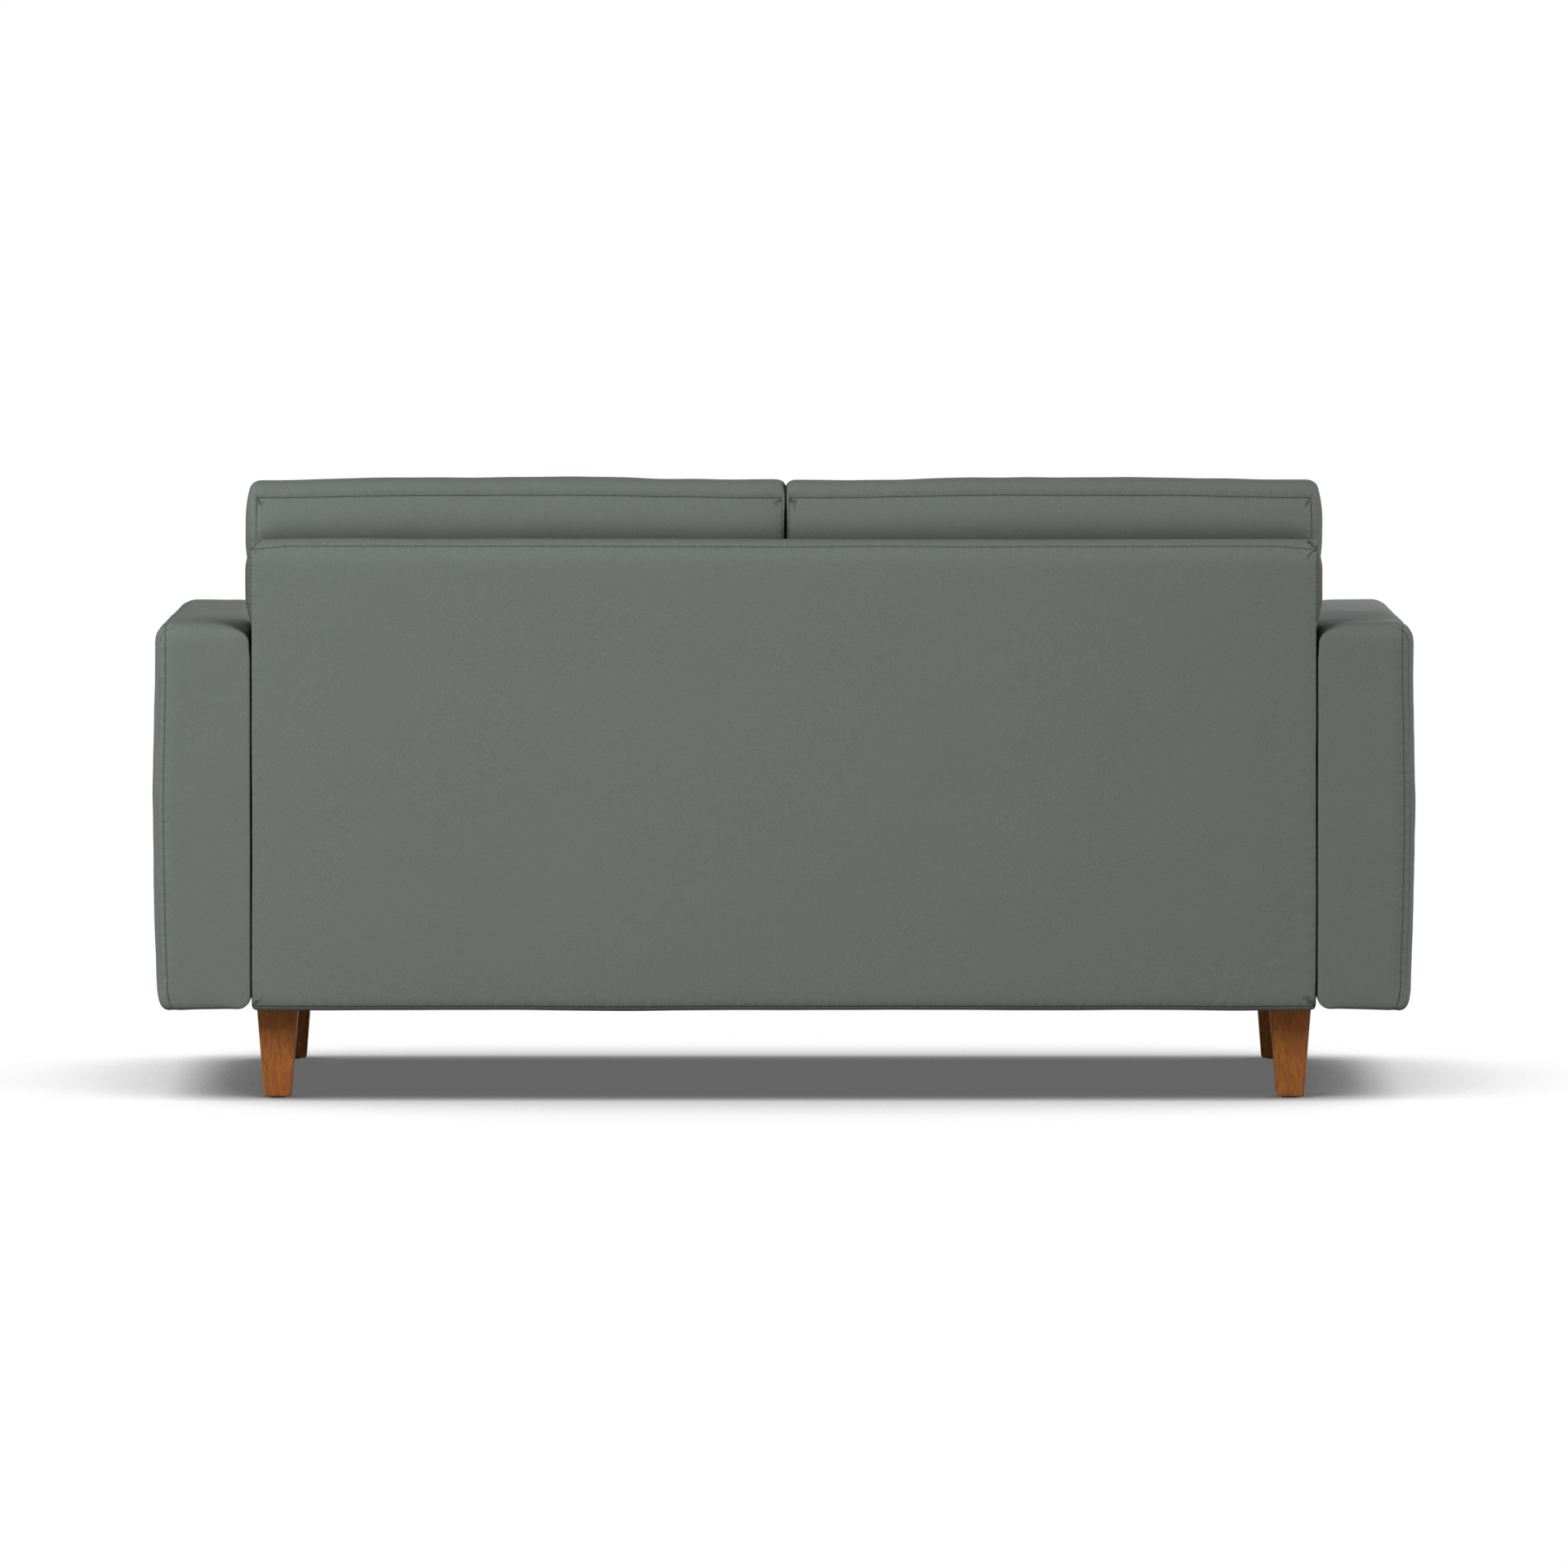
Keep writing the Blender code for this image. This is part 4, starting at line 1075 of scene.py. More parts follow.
@dataclass
class Arm:
    """One padded arm: its outer side bulges, with a seam round that side, and its top falls inwards.

    Attributes:
        side: which arm.
        seam_inset: how far inside the outer side the seam runs.
        seam_dip: how deep the cloth is drawn in at the seam, and how far beside it.
        outer_round: the radius of the outer side's upper edge.
        inner_round: the radius of the inner side's upper edge.
        end_round: the radius of the edges of the ends.
        end_hem_round: the same at the hem.
        outer_hem_round: the radius of the outer side's hem.
        inner_hem_round: the radius of the inner side's hem.
        bulge: how far the outer side stands out where it stands out most.
        bulge_height: how high above the floor that is.
        bulge_reach: how far above and below that the bulge ends.
        hem_taper: how far the outer side draws in at the hem, and over which height it fades.
        hem_draw: how far it draws in more gently, and over which height that fades.
        skin: how far it stands out above and below the bulge.
        fall_reach: how far from the inner side the top's fall starts.
        front_fall: how far the top falls towards the seat at the front.
        rear_fall: how far it falls towards the back.
        rear_turn: where along the arm the one goes over into the other.
        hollow: how much deeper the back cushion presses it just in front of its rear end.
        hollow_reach: how far from the inner side the hollow starts.
        hollow_start: where along the arm the hollow starts and is at its full depth.
        hollow_end: where along the arm it ends, and where it starts to end.
        rise: how much higher the padding of the top is at the rear than at the front.
        top_band: how far below the top its padding starts to move, and moves in full.
        press: how far the inner side swells against the side of the back.
        press_depth: how thick the layer that swells is.
        press_from: how far behind the back's front it starts to swell, and swells in full.
        press_under: how far below the top the same happens.
        hem_sag: how far the hem hangs lower at the inner side.
        hem_band: how high above the hem that starts.
        broad: the length and height of its broad unevenness.
        fine: the same of its fine unevenness.
    """

    side: Side
    seam_inset: float = 0.0155
    seam_dip: Span = (0.0009, 0.006)
    outer_round: float = 0.0275
    inner_round: float = 0.009
    end_round: float = 0.027
    end_hem_round: float = 0.009
    outer_hem_round: float = 0.009
    inner_hem_round: float = 0.017
    bulge: float = 0.0038
    bulge_height: float = 0.40
    bulge_reach: float = 0.21
    hem_taper: Span = (0.009, 0.011)
    hem_draw: Span = (0.003, 0.06)
    skin: float = 0.0006
    fall_reach: float = 0.052
    front_fall: float = 0.005
    rear_fall: float = 0.020
    rear_turn: Span = (0.87, 0.975)
    hollow: float = 0.003
    hollow_reach: float = 0.12
    hollow_start: Span = (0.55, 0.75)
    hollow_end: Span = (0.965, 0.90)
    rise: float = 0.0088
    top_band: Span = (0.10, 0.02)
    press: float = 0.0014
    press_depth: float = 0.006
    press_from: Span = (0.004, 0.020)
    press_under: Span = (0.012, 0.035)
    hem_sag: float = 0.0022
    hem_band: float = 0.012
    broad: Span = (0.16, 0.0005)
    fine: Span = (0.05, 0.0002)

    def outward(self, points: Array, low: Array) -> Array:
        """How far the outer side moves outwards at each point's height.

        Args:
            points: the cover's points.
            low: the lowest corner of its box.

        Returns:
            The move in metres, one a point.
        """
        rise = points[:, 2] - low[2]
        belly = self.bulge * (1 - ((points[:, 2] - self.bulge_height) / self.bulge_reach) ** 2)
        hem, draw = (depth * np.exp(-rise / reach) for depth, reach in (self.hem_taper, self.hem_draw))
        return np.maximum(belly, self.skin) - (hem + draw)

    def fall(self, from_front: Array, from_inner: Array) -> Array:
        """How far the top lies below its outer edge.

        Args:
            from_front: how far each point is from the arm's front end.
            from_inner: how far it is from the inner side.

        Returns:
            The drop in metres, one a point.
        """
        inward = np.clip(1 - from_inner / self.fall_reach, 0, 1)
        rearward = smooth_step(*self.rear_turn, from_front)
        depth = self.front_fall + (self.rear_fall - self.front_fall) * rearward
        pressed = smooth_step(*self.hollow_start, from_front) * smooth_step(*self.hollow_end, from_front)
        hollow = self.hollow * pressed * np.clip(1 - from_inner / self.hollow_reach, 0, 1)
        return depth * inward**2 + hollow

    def upward(self, points: Array, from_inner: Array, low: Array, high: Array) -> Array:
        """How far the top moves up, and the hem down.

        Args:
            points: the cover's points.
            from_inner: how far each is from the inner side.
            low: the lowest corner of its box.
            high: the highest corner.

        Returns:
            The move upwards in metres, one a point.
        """
        from_front = points[:, 1] - low[1]
        upper = smooth_step(*(high[2] - drop for drop in self.top_band), points[:, 2])
        rearward = np.clip((from_front - 0.04) / (high[1] - low[1] - 0.12), 0, 1)
        top = (self.rise * rearward - self.fall(from_front, from_inner)) * upper
        lower = smooth_step(low[2] + self.hem_band, low[2], points[:, 2])
        return top - self.hem_sag * lower * np.clip(1.3 * from_inner / (high[0] - low[0]) - 0.3, 0, 1)

    def pressed(self, points: Array, from_inner: Array, high: Array) -> Array:
        """How far the inner side swells against the back.

        Args:
            points: the cover's points.
            from_inner: how far each is from the inner side.
            high: the highest corner of its box.

        Returns:
            The move inwards in metres, one a point.
        """
        back_front = box_of("back_cover")[0][1]
        beside = smooth_step(*(back_front + way for way in self.press_from), points[:, 1])
        inmost = smooth_step(self.press_depth, 0.0, from_inner)
        under = smooth_step(*(high[2] - drop for drop in self.press_under), points[:, 2])
        return self.press * beside * inmost * under

    def build(self) -> bpy.types.Object:
        """Makes the arm's cover.

        Returns:
            The cover, which replaces the CAD one.
        """
        padding = Padding(f"arm_cover_{self.side.word}", "sofa_body", 0.95)
        low, high = box_of(padding.node)
        sign = self.side.value
        hems, tops = (self.inner_hem_round, self.outer_hem_round), (self.inner_round, self.outer_round)
        corners = (*hems[::sign], *tops[::sign])
        ends = (self.end_round, self.end_round)
        form = PaddedForm(low, high, Axis.Y, corners, ends, tight=-sign, hem_radius=self.end_hem_round)
        points, quads, normals = form.surface()
        outer = high[0] if sign > 0 else low[0]
        depth_in = (outer - points[:, 0]) * sign
        from_inner = high[0] - low[0] - depth_in
        seam_gap = self.seam_inset - depth_in
        run = np.where(np.abs(normals[:, 1]) > 0.7, points[:, 2], points[:, 1])
        moved = points.copy()
        moved[:, 0] += sign * self.outward(points, low) * smooth_step(0.09, 0.0, depth_in)
        moved[:, 2] += self.upward(points, from_inner, low, high)
        moved[:, 0] -= sign * self.pressed(points, from_inner, high)
        wobble = uneven(points, (*self.broad, 11 + sign), (*self.fine, 21 + sign))
        inner_face = smooth_step(0.6, 0.95, -sign * normals[:, 0])
        moved += (wobble * (1 - inner_face) + dip(seam_gap, *self.seam_dip))[:, None] * normals
        return padding.wrap(f"arm_{self.side.word}", moved, quads, seam_gap, run)


@dataclass
class Back:
    """The padded back between the arms, seamed at its crest, sides and hem.

    Attributes:
        corners: the radii of its hem's and its crest's edges, front and rear.
        end_round: the radius of its sides' edges.
        end_hem_round: the same at the hem.
        side_inset: how far inside its side the side seam runs.
        crest_drop: how far below its top the crest's seam runs.
        end_drop: how much lower that seam runs at its ends.
        end_turn: where along x it starts to run lower, and is at its lowest.
        hem_rise: how far above its hem the hem's seam runs.
        seam_band: how far from the rear face the seams are.
        seam_dip: how deep the cloth is drawn in at a seam, and how far beside it.
        hem_sag: how far the hem hangs below the frame.
        hem_band: how high above the hem it starts to hang.
        puff: how far the rear face swells.
        side_fill: how far its sides swell towards the arms.
        bulge: how far they stand out over the arms.
        over_arm: from how far under the arm's top to how far over it the bulge grows.
        under_crest: how far below the crest it starts, and is at its full size.
    """

    corners: Sequence[float] = (0.010, 0.011, 0.034, 0.034)
    end_round: float = 0.002
    end_hem_round: float = 0.007
    side_inset: float = 0.0006
    crest_drop: float = 0.008
    end_drop: float = 0.0035
    end_turn: Span = (0.70, 0.755)
    hem_rise: float = 0.0050
    seam_band: float = 0.034
    seam_dip: Span = (0.0009, 0.005)
    hem_sag: float = 0.0022
    hem_band: float = 0.014
    puff: float = 0.0035
    side_fill: float = 0.0014
    bulge: float = 0.0090
    over_arm: Span = (-0.008, 0.045)
    under_crest: Span = (0.002, 0.042)

    def seams(self, points: Array, low: Array, high: Array) -> tuple[Array, Array]:
        """Where the seams run.

        Args:
            points: the cover's points.
            low: the lowest corner of its box.
            high: the highest corner.

        Returns:
            The distance from the nearest seam, and the place along it.
        """
        x, y, z = points.T
        end_drop = self.end_drop * smooth_step(*self.end_turn, np.abs(x))
        crest = z - (high[2] - self.crest_drop - end_drop)
        sides = np.abs(x) - (high[0] - self.side_inset)
        hem = (low[2] + self.hem_rise) - z
        gap = np.where(y > high[1] - self.seam_band, nearest(crest, sides, hem), NO_SEAM)
        return gap, np.where(np.abs(sides) < np.minimum(np.abs(crest), np.abs(hem)), z, x)

    def swell(self, points: Array, normals: Array, low: Array, high: Array) -> Array:
        """How far the rear face stands out between its seams.

        Args:
            points: the cover's points.
            normals: its normals.
            low: the lowest corner of its box.
            high: the highest corner.

        Returns:
            The move along the normals in metres, one a point.
        """
        rear = smooth_step(0.5, 0.95, normals[:, 1])
        share_x = np.clip(np.abs(points[:, 0]) / (high[0] - self.side_inset), 0, 1)
        half = (high[2] - low[2]) / 2
        share_z = np.clip(np.abs((points[:, 2] - (low[2] + high[2]) / 2) / half), 0, 1)
        return self.puff * (1 - share_x**6) * (1 - share_z**8) * rear

    def sideways(self, points: Array, low: Array, high: Array) -> Array:
        """How far the sides stand out, most over the arms.

        Args:
            points: the cover's points.
            low: the lowest corner of its box.
            high: the highest corner.

        Returns:
            The move along x in metres, one a point.
        """
        x, y, z = points.T
        arm_top = box_of("arm_cover_left")[1][2]
        over_arm = smooth_step(*(arm_top + rise for rise in self.over_arm), z)
        under_crest = 0.2 + 0.8 * smooth_step(*(high[2] - drop for drop in self.under_crest), z)
        share_y = np.clip((y - (low[1] + high[1]) / 2) / ((high[1] - low[1]) / 2 - 0.002), -1, 1)
        band = np.sqrt(1 - share_y**2)
        outmost = smooth_step(high[0] - 0.006, high[0] - 0.0015, np.abs(x)) * np.sign(x)
        return outmost * (self.bulge * over_arm * under_crest * band + self.side_fill)

    def build(self) -> bpy.types.Object:
        """Makes the back's cover.

        Returns:
            The cover, which replaces the CAD one.
        """
        padding = Padding("back_cover", "sofa_body", 0.95)
        low, high = box_of(padding.node)
        ends = (self.end_round, self.end_round)
        form = PaddedForm(low, high, Axis.X, self.corners, ends, hem_radius=self.end_hem_round)
        points, quads, normals = form.surface()
        gap, run = self.seams(points, low, high)
        wobble = uneven(points, (0.30, 0.0007, 5), (0.07, 0.00018, 6))
        front_face = smooth_step(0.6, 0.95, -normals[:, 1])
        out = wobble * (1 - front_face) + self.swell(points, normals, low, high) + dip(gap, *self.seam_dip)
        moved = points + out[:, None] * normals
        moved[:, 0] += self.sideways(points, low, high)
        moved[:, 2] -= self.hem_sag * smooth_step(low[2] + self.hem_band, low[2], points[:, 2])
        return padding.wrap("back_panel", moved, quads, gap, run)


@dataclass
class FrontRail:
    """The padded front rail below the seat cushions.

    Attributes:
        corners: the radii of its lower and its upper edges, front and rear.
        end_round: the radius of its ends' edges.
        seam_drop: how far below its top the seam runs.
        seam_dip: how deep the cloth is drawn in at the seam, and how far beside it.
        swell: how far its front stands out.
    """

    corners: Sequence[float] = (0.005, 0.002, 0.010, 0.004)
    end_round: float = 0.003
    seam_drop: float = 0.012
    seam_dip: Span = (0.0008, 0.005)
    swell: float = 0.003

    def build(self) -> bpy.types.Object:
        """Makes the rail's cover.

        Returns:
            The cover, which replaces the CAD one.
        """
        padding = Padding("front_rail_cover", "sofa_body", 0.95)
        low, high = box_of(padding.node)
        form = PaddedForm(low, high, Axis.X, self.corners, (self.end_round, self.end_round), 0.010)
        points, quads, normals = form.surface()
        front = smooth_step(0.5, 0.95, -normals[:, 1])
        middle = (low[2] + high[2]) / 2
        crown = 1 - np.clip(np.abs(points[:, 2] - middle) / (high[2] - middle), 0, 1) ** 4
        gap = np.where(points[:, 1] < low[1] + 0.02, points[:, 2] - (high[2] - self.seam_drop), NO_SEAM)
        out = (self.swell * crown + uneven(points, (0.2, 0.0006, 31))) * front + dip(gap, *self.seam_dip)
        moved = points + out[:, None] * normals
        return padding.wrap("front_rail_padding", moved, quads, gap, points[:, 0])


# loose cushions


@dataclass
class Cushion:
    """A boxed cushion: two panels sewn to a band, which swells between their seams.

    Attributes:
        node: the CAD cushion that it replaces, and the body that it rides on.
        side: which half of the sofa it is on.
        thin: the axis through its thickness.
        name: the piece's name.
        seed: which unevenness it has.
        corner: the radius of its panels' corners.
        edge: the radius of the turn from a panel to the band.
        step: the widest grid spacing.
        fill: how full of padding it is.
        broad: how far its broad unevenness stands out.
        fine: how far its fine unevenness stands out.
        seam_dip: how deep the cloth is drawn in at a seam, and how far beside it.
    """

    node: str
    side: Side
    thin: Axis
    name: str
    seed: int = 1
    corner: float = 0.012
    edge: float = 0.006
    step: float = 0.008
    fill: float = 0.8
    broad: float = 0.0006
    fine: float = 0.0003
    seam_dip: Span = (0.0012, 0.006)

    def shares(self, points: Array, low: Array, high: Array) -> Array:
        """Each point's place in the box, from -1 to 1 along each axis."""
        return (points - (low + high) / 2) / ((high - low) / 2)

    def plump(self, points: Array, normals: Array, low: Array, high: Array) -> Array:
        """Moves the plain block's points to the filled cushion's.

        Args:
            points: the block's points.
            normals: its normals.
            low: the CAD box's lowest corner.
            high: the CAD box's highest corner.

        Returns:
            The moved points.
        """
        raise NotImplementedError

    def seams(self, points: Array, low: Array, high: Array) -> tuple[Array, Array]:
        """Where the panels' seams run.

        Args:
            points: the block's points.
            low: the CAD box's lowest corner.
            high: the CAD box's highest corner.

        Returns:
            The distance from the nearer seam, and the place along it.
        """
        wide = [axis for axis in range(3) if axis != self.thin.value]
        inside = (high - low) / 2 - np.abs(points - (low + high) / 2)
        edges = [inside[:, axis] for axis in wide]
        run = np.where(edges[0] < edges[1], points[:, wide[1]], points[:, wide[0]])
        return inside[:, self.thin.value] - np.minimum(*edges), run

    def build(self) -> bpy.types.Object:
        """Makes the cushion.

        Returns:
            The cushion, which replaces the CAD one.
        """
        low, high = box_of(self.node)
        form = PaddedForm(low, high, self.thin, (self.corner,) * 4, (self.edge, self.edge), self.step)
        points, quads, normals = form.surface()
        gap, run = self.seams(points, low, high)
        wobble = uneven(points, (0.24, self.broad, self.seed), (0.07, self.fine, self.seed + 50))
        inner = smooth_step(0.5, 0.9, -self.side.value * normals[:, 0])
        moved = self.plump(points, normals, low, high)
        moved = moved + (wobble * (1 - inner) + dip(gap, *self.seam_dip))[:, None] * normals
        return Padding(self.node, self.node, self.fill).wrap(self.name, moved, quads, gap, run)


@dataclass
class BackCushion(Cushion):
    """A back cushion, whose band swells upwards and out over the arm, and leans on its neighbour.

    Attributes:
        top_swell: how far its top rises from the seams to its middle.
        crown: how much lower its top is at its ends than in between.
        tuck: how far the panels draw in towards the seams at the top.
        side_tuck: how far they draw in at the sides.
        belly: how far the front panel swells.
        side_swell: how far it stands out over the arm.
        swell_drop: how far below the top the side stands out most.
        shoulder: how far above that it is as wide as elsewhere.
        arm_clear: how far above the arm the swelling starts.
        parting: where the two cushions meet.
        parting_gap: half the gap in the parting.
        parting_open: how far the parting opens towards the seams.
        lean: how far the parting sways.
    """

    top_swell: float = 0.0228
    crown: float = 0.0035
    tuck: float = 0.030
    side_tuck: float = 0.005
    belly: float = 0.014
    side_swell: float = 0.0155
    swell_drop: float = 0.0655
    shoulder: float = 0.080
    arm_clear: float = 0.012
    parting: float = -0.0025
    parting_gap: float = 0.0003
    parting_open: float = 0.0019
    lean: float = 0.0016

    def outer_side(self, points: Array, across: Array, high: Array) -> Array:
        """How far the outer side stands out.

        Args:
            points: the block's points.
            across: their place from panel to panel, from -1 to 1.
            high: the CAD box's highest corner.

        Returns:
            The move outwards in metres, one a point.
        """
        arm_top = box_of(f"arm_cover_{self.side.word}")[1][2] + self.arm_clear
        widest = high[2] - self.swell_drop
        over = smooth_step(arm_top, widest - 0.02, points[:, 2])
        shoulder = np.clip((points[:, 2] - widest) / self.shoulder, 0, 1) ** 2.3
        return self.side_swell * over * (1 - shoulder) * (1 - np.abs(across) ** 2.5)

    def inner_side(self, across: Array) -> Array:
        """Where the inner side lies, from the panels' seams to the parting.

        Args:
            across: the place from panel to panel, from -1 to 1.

        Returns:
            Its place along x, one a point.
        """
        sway = self.lean * np.sin(across * math.pi * 1.5) * np.exp(-((across / 0.42) ** 2))
        opening = self.parting_gap + self.parting_open * np.abs(across) ** 3
        return self.parting + sway + self.side.value * opening

    def plump(self, points: Array, normals: Array, low: Array, high: Array) -> Array:
        """Swells the band at the top and side, and the panels between them.

        Args:
            points: the block's points.
            normals: its normals.
            low: the CAD box's lowest corner.
            high: the CAD box's highest corner.

        Returns:
            The moved points.
        """
        share = self.shares(points, low, high)
        sign = self.side.value
        across = share[:, 1]
        outward = share[:, 0] * sign
        moved = points.copy()
        upper = smooth_step(0.55, 1.0, share[:, 2])
        low_ends = self.crown * smooth_step(0.25, 0.95, np.abs(outward - 0.05))
        moved[:, 2] -= upper * (self.top_swell * np.abs(across) ** 2.2 + low_ends)
        moved[:, 0] += sign * smooth_step(0.90, 1.0, outward) * self.outer_side(points, across, high)
        inner_plane = low[0] if sign > 0 else high[0]
        moved[:, 0] += smooth_step(0.93, 1.0, -outward) * (self.inner_side(across) - inner_plane)
        panel = smooth_step(0.7, 0.97, np.abs(normals[:, 1]))
        flat = (1 - np.abs(share[:, 0]) ** 6) * (1 - np.abs(share[:, 2]) ** 4)
        swell = np.where(across > 0, -0.0005, self.belly * flat)
        moved += (panel * swell)[:, None] * normals
        drawn = np.clip((share[:, 2] - 0.55) / 0.45, 0, 1) ** 2.8 * self.tuck
        drawn += np.clip((np.abs(share[:, 0]) - 0.86) / 0.14, 0, 1) ** 2 * self.side_tuck
        moved[:, 1] -= across * np.abs(across) * drawn
        return moved


@dataclass
class SeatCushion(Cushion):
    """A seat cushion, whose top panel is crowned and whose front band swells.

    Attributes:
        crown: how far its top panel rises from its seams to its middle.
        front_swell: how far its front band stands out.
        front_inset: how far behind the CAD box's front the band is sewn.
        top_drop: how far below the CAD box's top the crown stays.
        corner: the radius of its panels' corners.
        edge: the radius of the turn from a panel to the band.
        broad: how far its broad unevenness stands out.
    """

    crown: float = 0.020
    front_swell: float = 0.009
    front_inset: float = 0.003
    top_drop: float = 0.0015
    corner: float = 0.026
    edge: float = 0.014
    broad: float = 0.0016

    def plump(self, points: Array, normals: Array, low: Array, high: Array) -> Array:
        """Crowns the top panel within the CAD cushion's height, and swells the front band.

        Args:
            points: the block's points.
            normals: its normals.
            low: the CAD box's lowest corner.
            high: the CAD box's highest corner.

        Returns:
            The moved points.
        """
        share = self.shares(points, low, high)
        moved = points.copy()
        upper = smooth_step(-0.2, 1.0, share[:, 2])
        flat = (1 - np.abs(share[:, 0]) ** 3) * (1 - np.abs(share[:, 1]) ** 3)
        moved[:, 2] -= (self.crown * (1 - flat) + self.top_drop) * upper
        band = 1 - np.abs(share[:, 2]) ** 2
        front = smooth_step(0.6, 0.95, -normals[:, 1])
        moved[:, 1] -= front * band * self.front_swell - front * self.front_inset
        return moved


# mattress


@dataclass
class Mattress:
    """One part of the three-part mattress, quilted with shallow tufts.

    Attributes:
        word: which part it is.
        edge: the radius of its edges.
        tuft_pitch: about how far apart its tufts are.
        tuft_depth: how deep they are.
        tuft_reach: how far round itself one draws the cloth in.
        seam_inset: how far from its faces the seams of its band run.
        ease: how far it is smaller than the CAD part, so that it folds freely.
    """

    word: str
    edge: float = 0.014
    tuft_pitch: float = 0.175
    tuft_depth: float = 0.006
    tuft_reach: float = 0.022
    seam_inset: float = 0.012
    ease: float = 0.001

    def from_tuft(self, points: Array, low: Array, high: Array) -> Array:
        """How far each point is from the nearest tuft.

        Args:
            points: the block's points.
            low: the CAD box's lowest corner.
            high: the CAD box's highest corner.

        Returns:
            One distance a point.
        """
        away = []
        for axis in (0, 1):
            length = high[axis] - low[axis]
            pitch = length / max(2, round(length / self.tuft_pitch))
            away.append((((points[:, axis] - low[axis]) / pitch) % 1 - 0.5) * pitch)
        return np.hypot(*away)

    def build(self) -> bpy.types.Object:
        """Makes the mattress part.

        Returns:
            The part, which replaces the CAD one.
        """
        node = f"mattress_{self.word}"
        padding = Padding(node, f"{self.word}_section", 0.9, "ticking", Finishes.ticking)
        low, high = box_of(node)
        form = PaddedForm(low, high, Axis.X, (self.edge,) * 4, (self.edge, self.edge), 0.011)
        points, quads, normals = form.surface()
        middle = (low + high) / 2
        facing = smooth_step(0.7, 0.98, np.abs(normals[:, 2]))
        tuft = dip(self.from_tuft(points, low, high), self.tuft_depth, self.tuft_reach) * facing
        wobble = uneven(points, (0.18, 0.0007, 71)) * facing
        moved = points + (tuft + wobble - self.ease)[:, None] * normals
        seam = np.abs(np.abs(points[:, 2] - middle[2]) - ((high[2] - low[2]) / 2 - self.seam_inset))
        around = 1 - smooth_step(0.3, 0.7, np.abs(normals[:, 2]))
        gap = np.where(around > 0.2, seam, NO_SEAM)
        return padding.wrap(f"{node}_quilted", moved, quads, gap, points[:, 0] + points[:, 1])


# legs


@dataclass
class Leg:
    """A wooden leg that tapers straight from the seat box to its foot, with its stud.

    Attributes:
        side: which side it stands on.
        end: front or rear.
        top_half: half its width at the top.
        foot_half: half its width at the foot.
        edge_round: the radius of its edges.
        top_round: the radius of its top's edges.
        stud_radius: the radius of the stud that holds it.
        stud_round: the radius of the stud's ends.
        stud_root: how far the stud reaches into the leg.
    """

    side: Side
    end: str
    top_half: float = 0.0295
    foot_half: float = 0.0195
    edge_round: float = 0.0034
    top_round: float = 0.0005
    stud_radius: float = 0.005
    stud_round: float = 0.0004
    stud_root: float = 0.002

    def build(self) -> bpy.types.Object:
        """Makes the leg.

        Returns:
            The leg, which replaces the CAD one.
        """
        place = f"{self.end}_{self.side.word}"
        node_low, node_high = box_of(f"leg_{place}")
        centre = (node_low + node_high) / 2
        top = box_of(f"leg_plate_{place}")[0][2]
        half = np.array([self.top_half, self.top_half, 0.0])
        low, high = centre - half, centre + half
        low[2], high[2] = node_low[2], top
        rounds = (self.edge_round,) * 4
        form = PaddedForm(low, high, Axis.Z, rounds, (self.edge_round, self.top_round), 0.006)
        points, quads, _ = form.surface()
        share = (points[:, 2] - low[2]) / (high[2] - low[2])
        width = (self.foot_half + (self.top_half - self.foot_half) * share) / self.top_half
        points[:, :2] = centre[:2] + (points[:, :2] - centre[:2]) * width[:, None]
        reach = np.array([self.stud_radius, self.stud_radius, 0.0])
        stud_low, stud_high = centre - reach, centre + reach
        stud_low[2], stud_high[2] = top - self.stud_root, node_high[2]
        stud_rounds = (self.stud_radius * 0.98,) * 4
        stud = PaddedForm(stud_low, stud_high, Axis.Z, stud_rounds, (self.stud_round, self.stud_round))
        stud_points, stud_quads, _ = stud.surface()
        quads = np.concatenate([quads, stud_quads + len(points)])
        points = np.concatenate([points, stud_points])
        piece = make_piece(f"tapered_leg_{place}", points, quads, Finishes.leg_wood.material())
        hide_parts(f"leg_{place}")
        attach(piece, "sofa_body")
        return piece


# CAD nodes that stay


@dataclass
class HardParts:
    """The timber, steel and plastic nodes of the frame, which keep their CAD shapes.

    Attributes:
        slots: the material slots that are dressed, each with the finish of its name.
        stained: the nodes that are stained dark because they show beside the seat.
    """

    slots: tuple[str, ...] = ("timber", "bed_steel", "zinc", "lining", "glide")
    stained: tuple[str, ...] = ("base_side_rail_left", "base_side_rail_right")

    def dress(self) -> int:
        """Gives each rigid node the finish of its slot.

        Returns:
            How many nodes were dressed.
        """
        count = 0
        for part in frame["record"]["subparts"]:
            slot = part["material_slot"]
            if slot not in self.slots:
                continue
            finish = Finishes.stained_timber if part["node"] in self.stained else getattr(Finishes, slot)
            node = frame["nodes"][part["node"]]
            node.data.materials.clear()
            node.data.materials.append(finish.material())
            count += 1
        return count


# studio


@dataclass
class Lamp:
    """One soft square lamp.

    Attributes:
        name: its name.
        place: where it hangs.
        aim: the point that it faces.
        size: how wide it is.
        power: its power in watts.
    """

    name: str
    place: Point
    aim: Point
    size: float
    power: float

    def hang(self) -> None:
        """Adds the lamp, turned to its aim."""
        data = bpy.data.lights.new(self.name, "AREA")
        data.shape = "SQUARE"
        data.size = self.size
        data.energy = self.power
        lamp = bpy.data.objects.new(self.name, data)
        lamp.visible_camera = False
        lamp.location = self.place
        lamp.rotation_euler = (Vector(self.aim) - Vector(self.place)).to_track_quat("-Z", "Y").to_euler()
        bpy.context.scene.collection.objects.link(lamp)


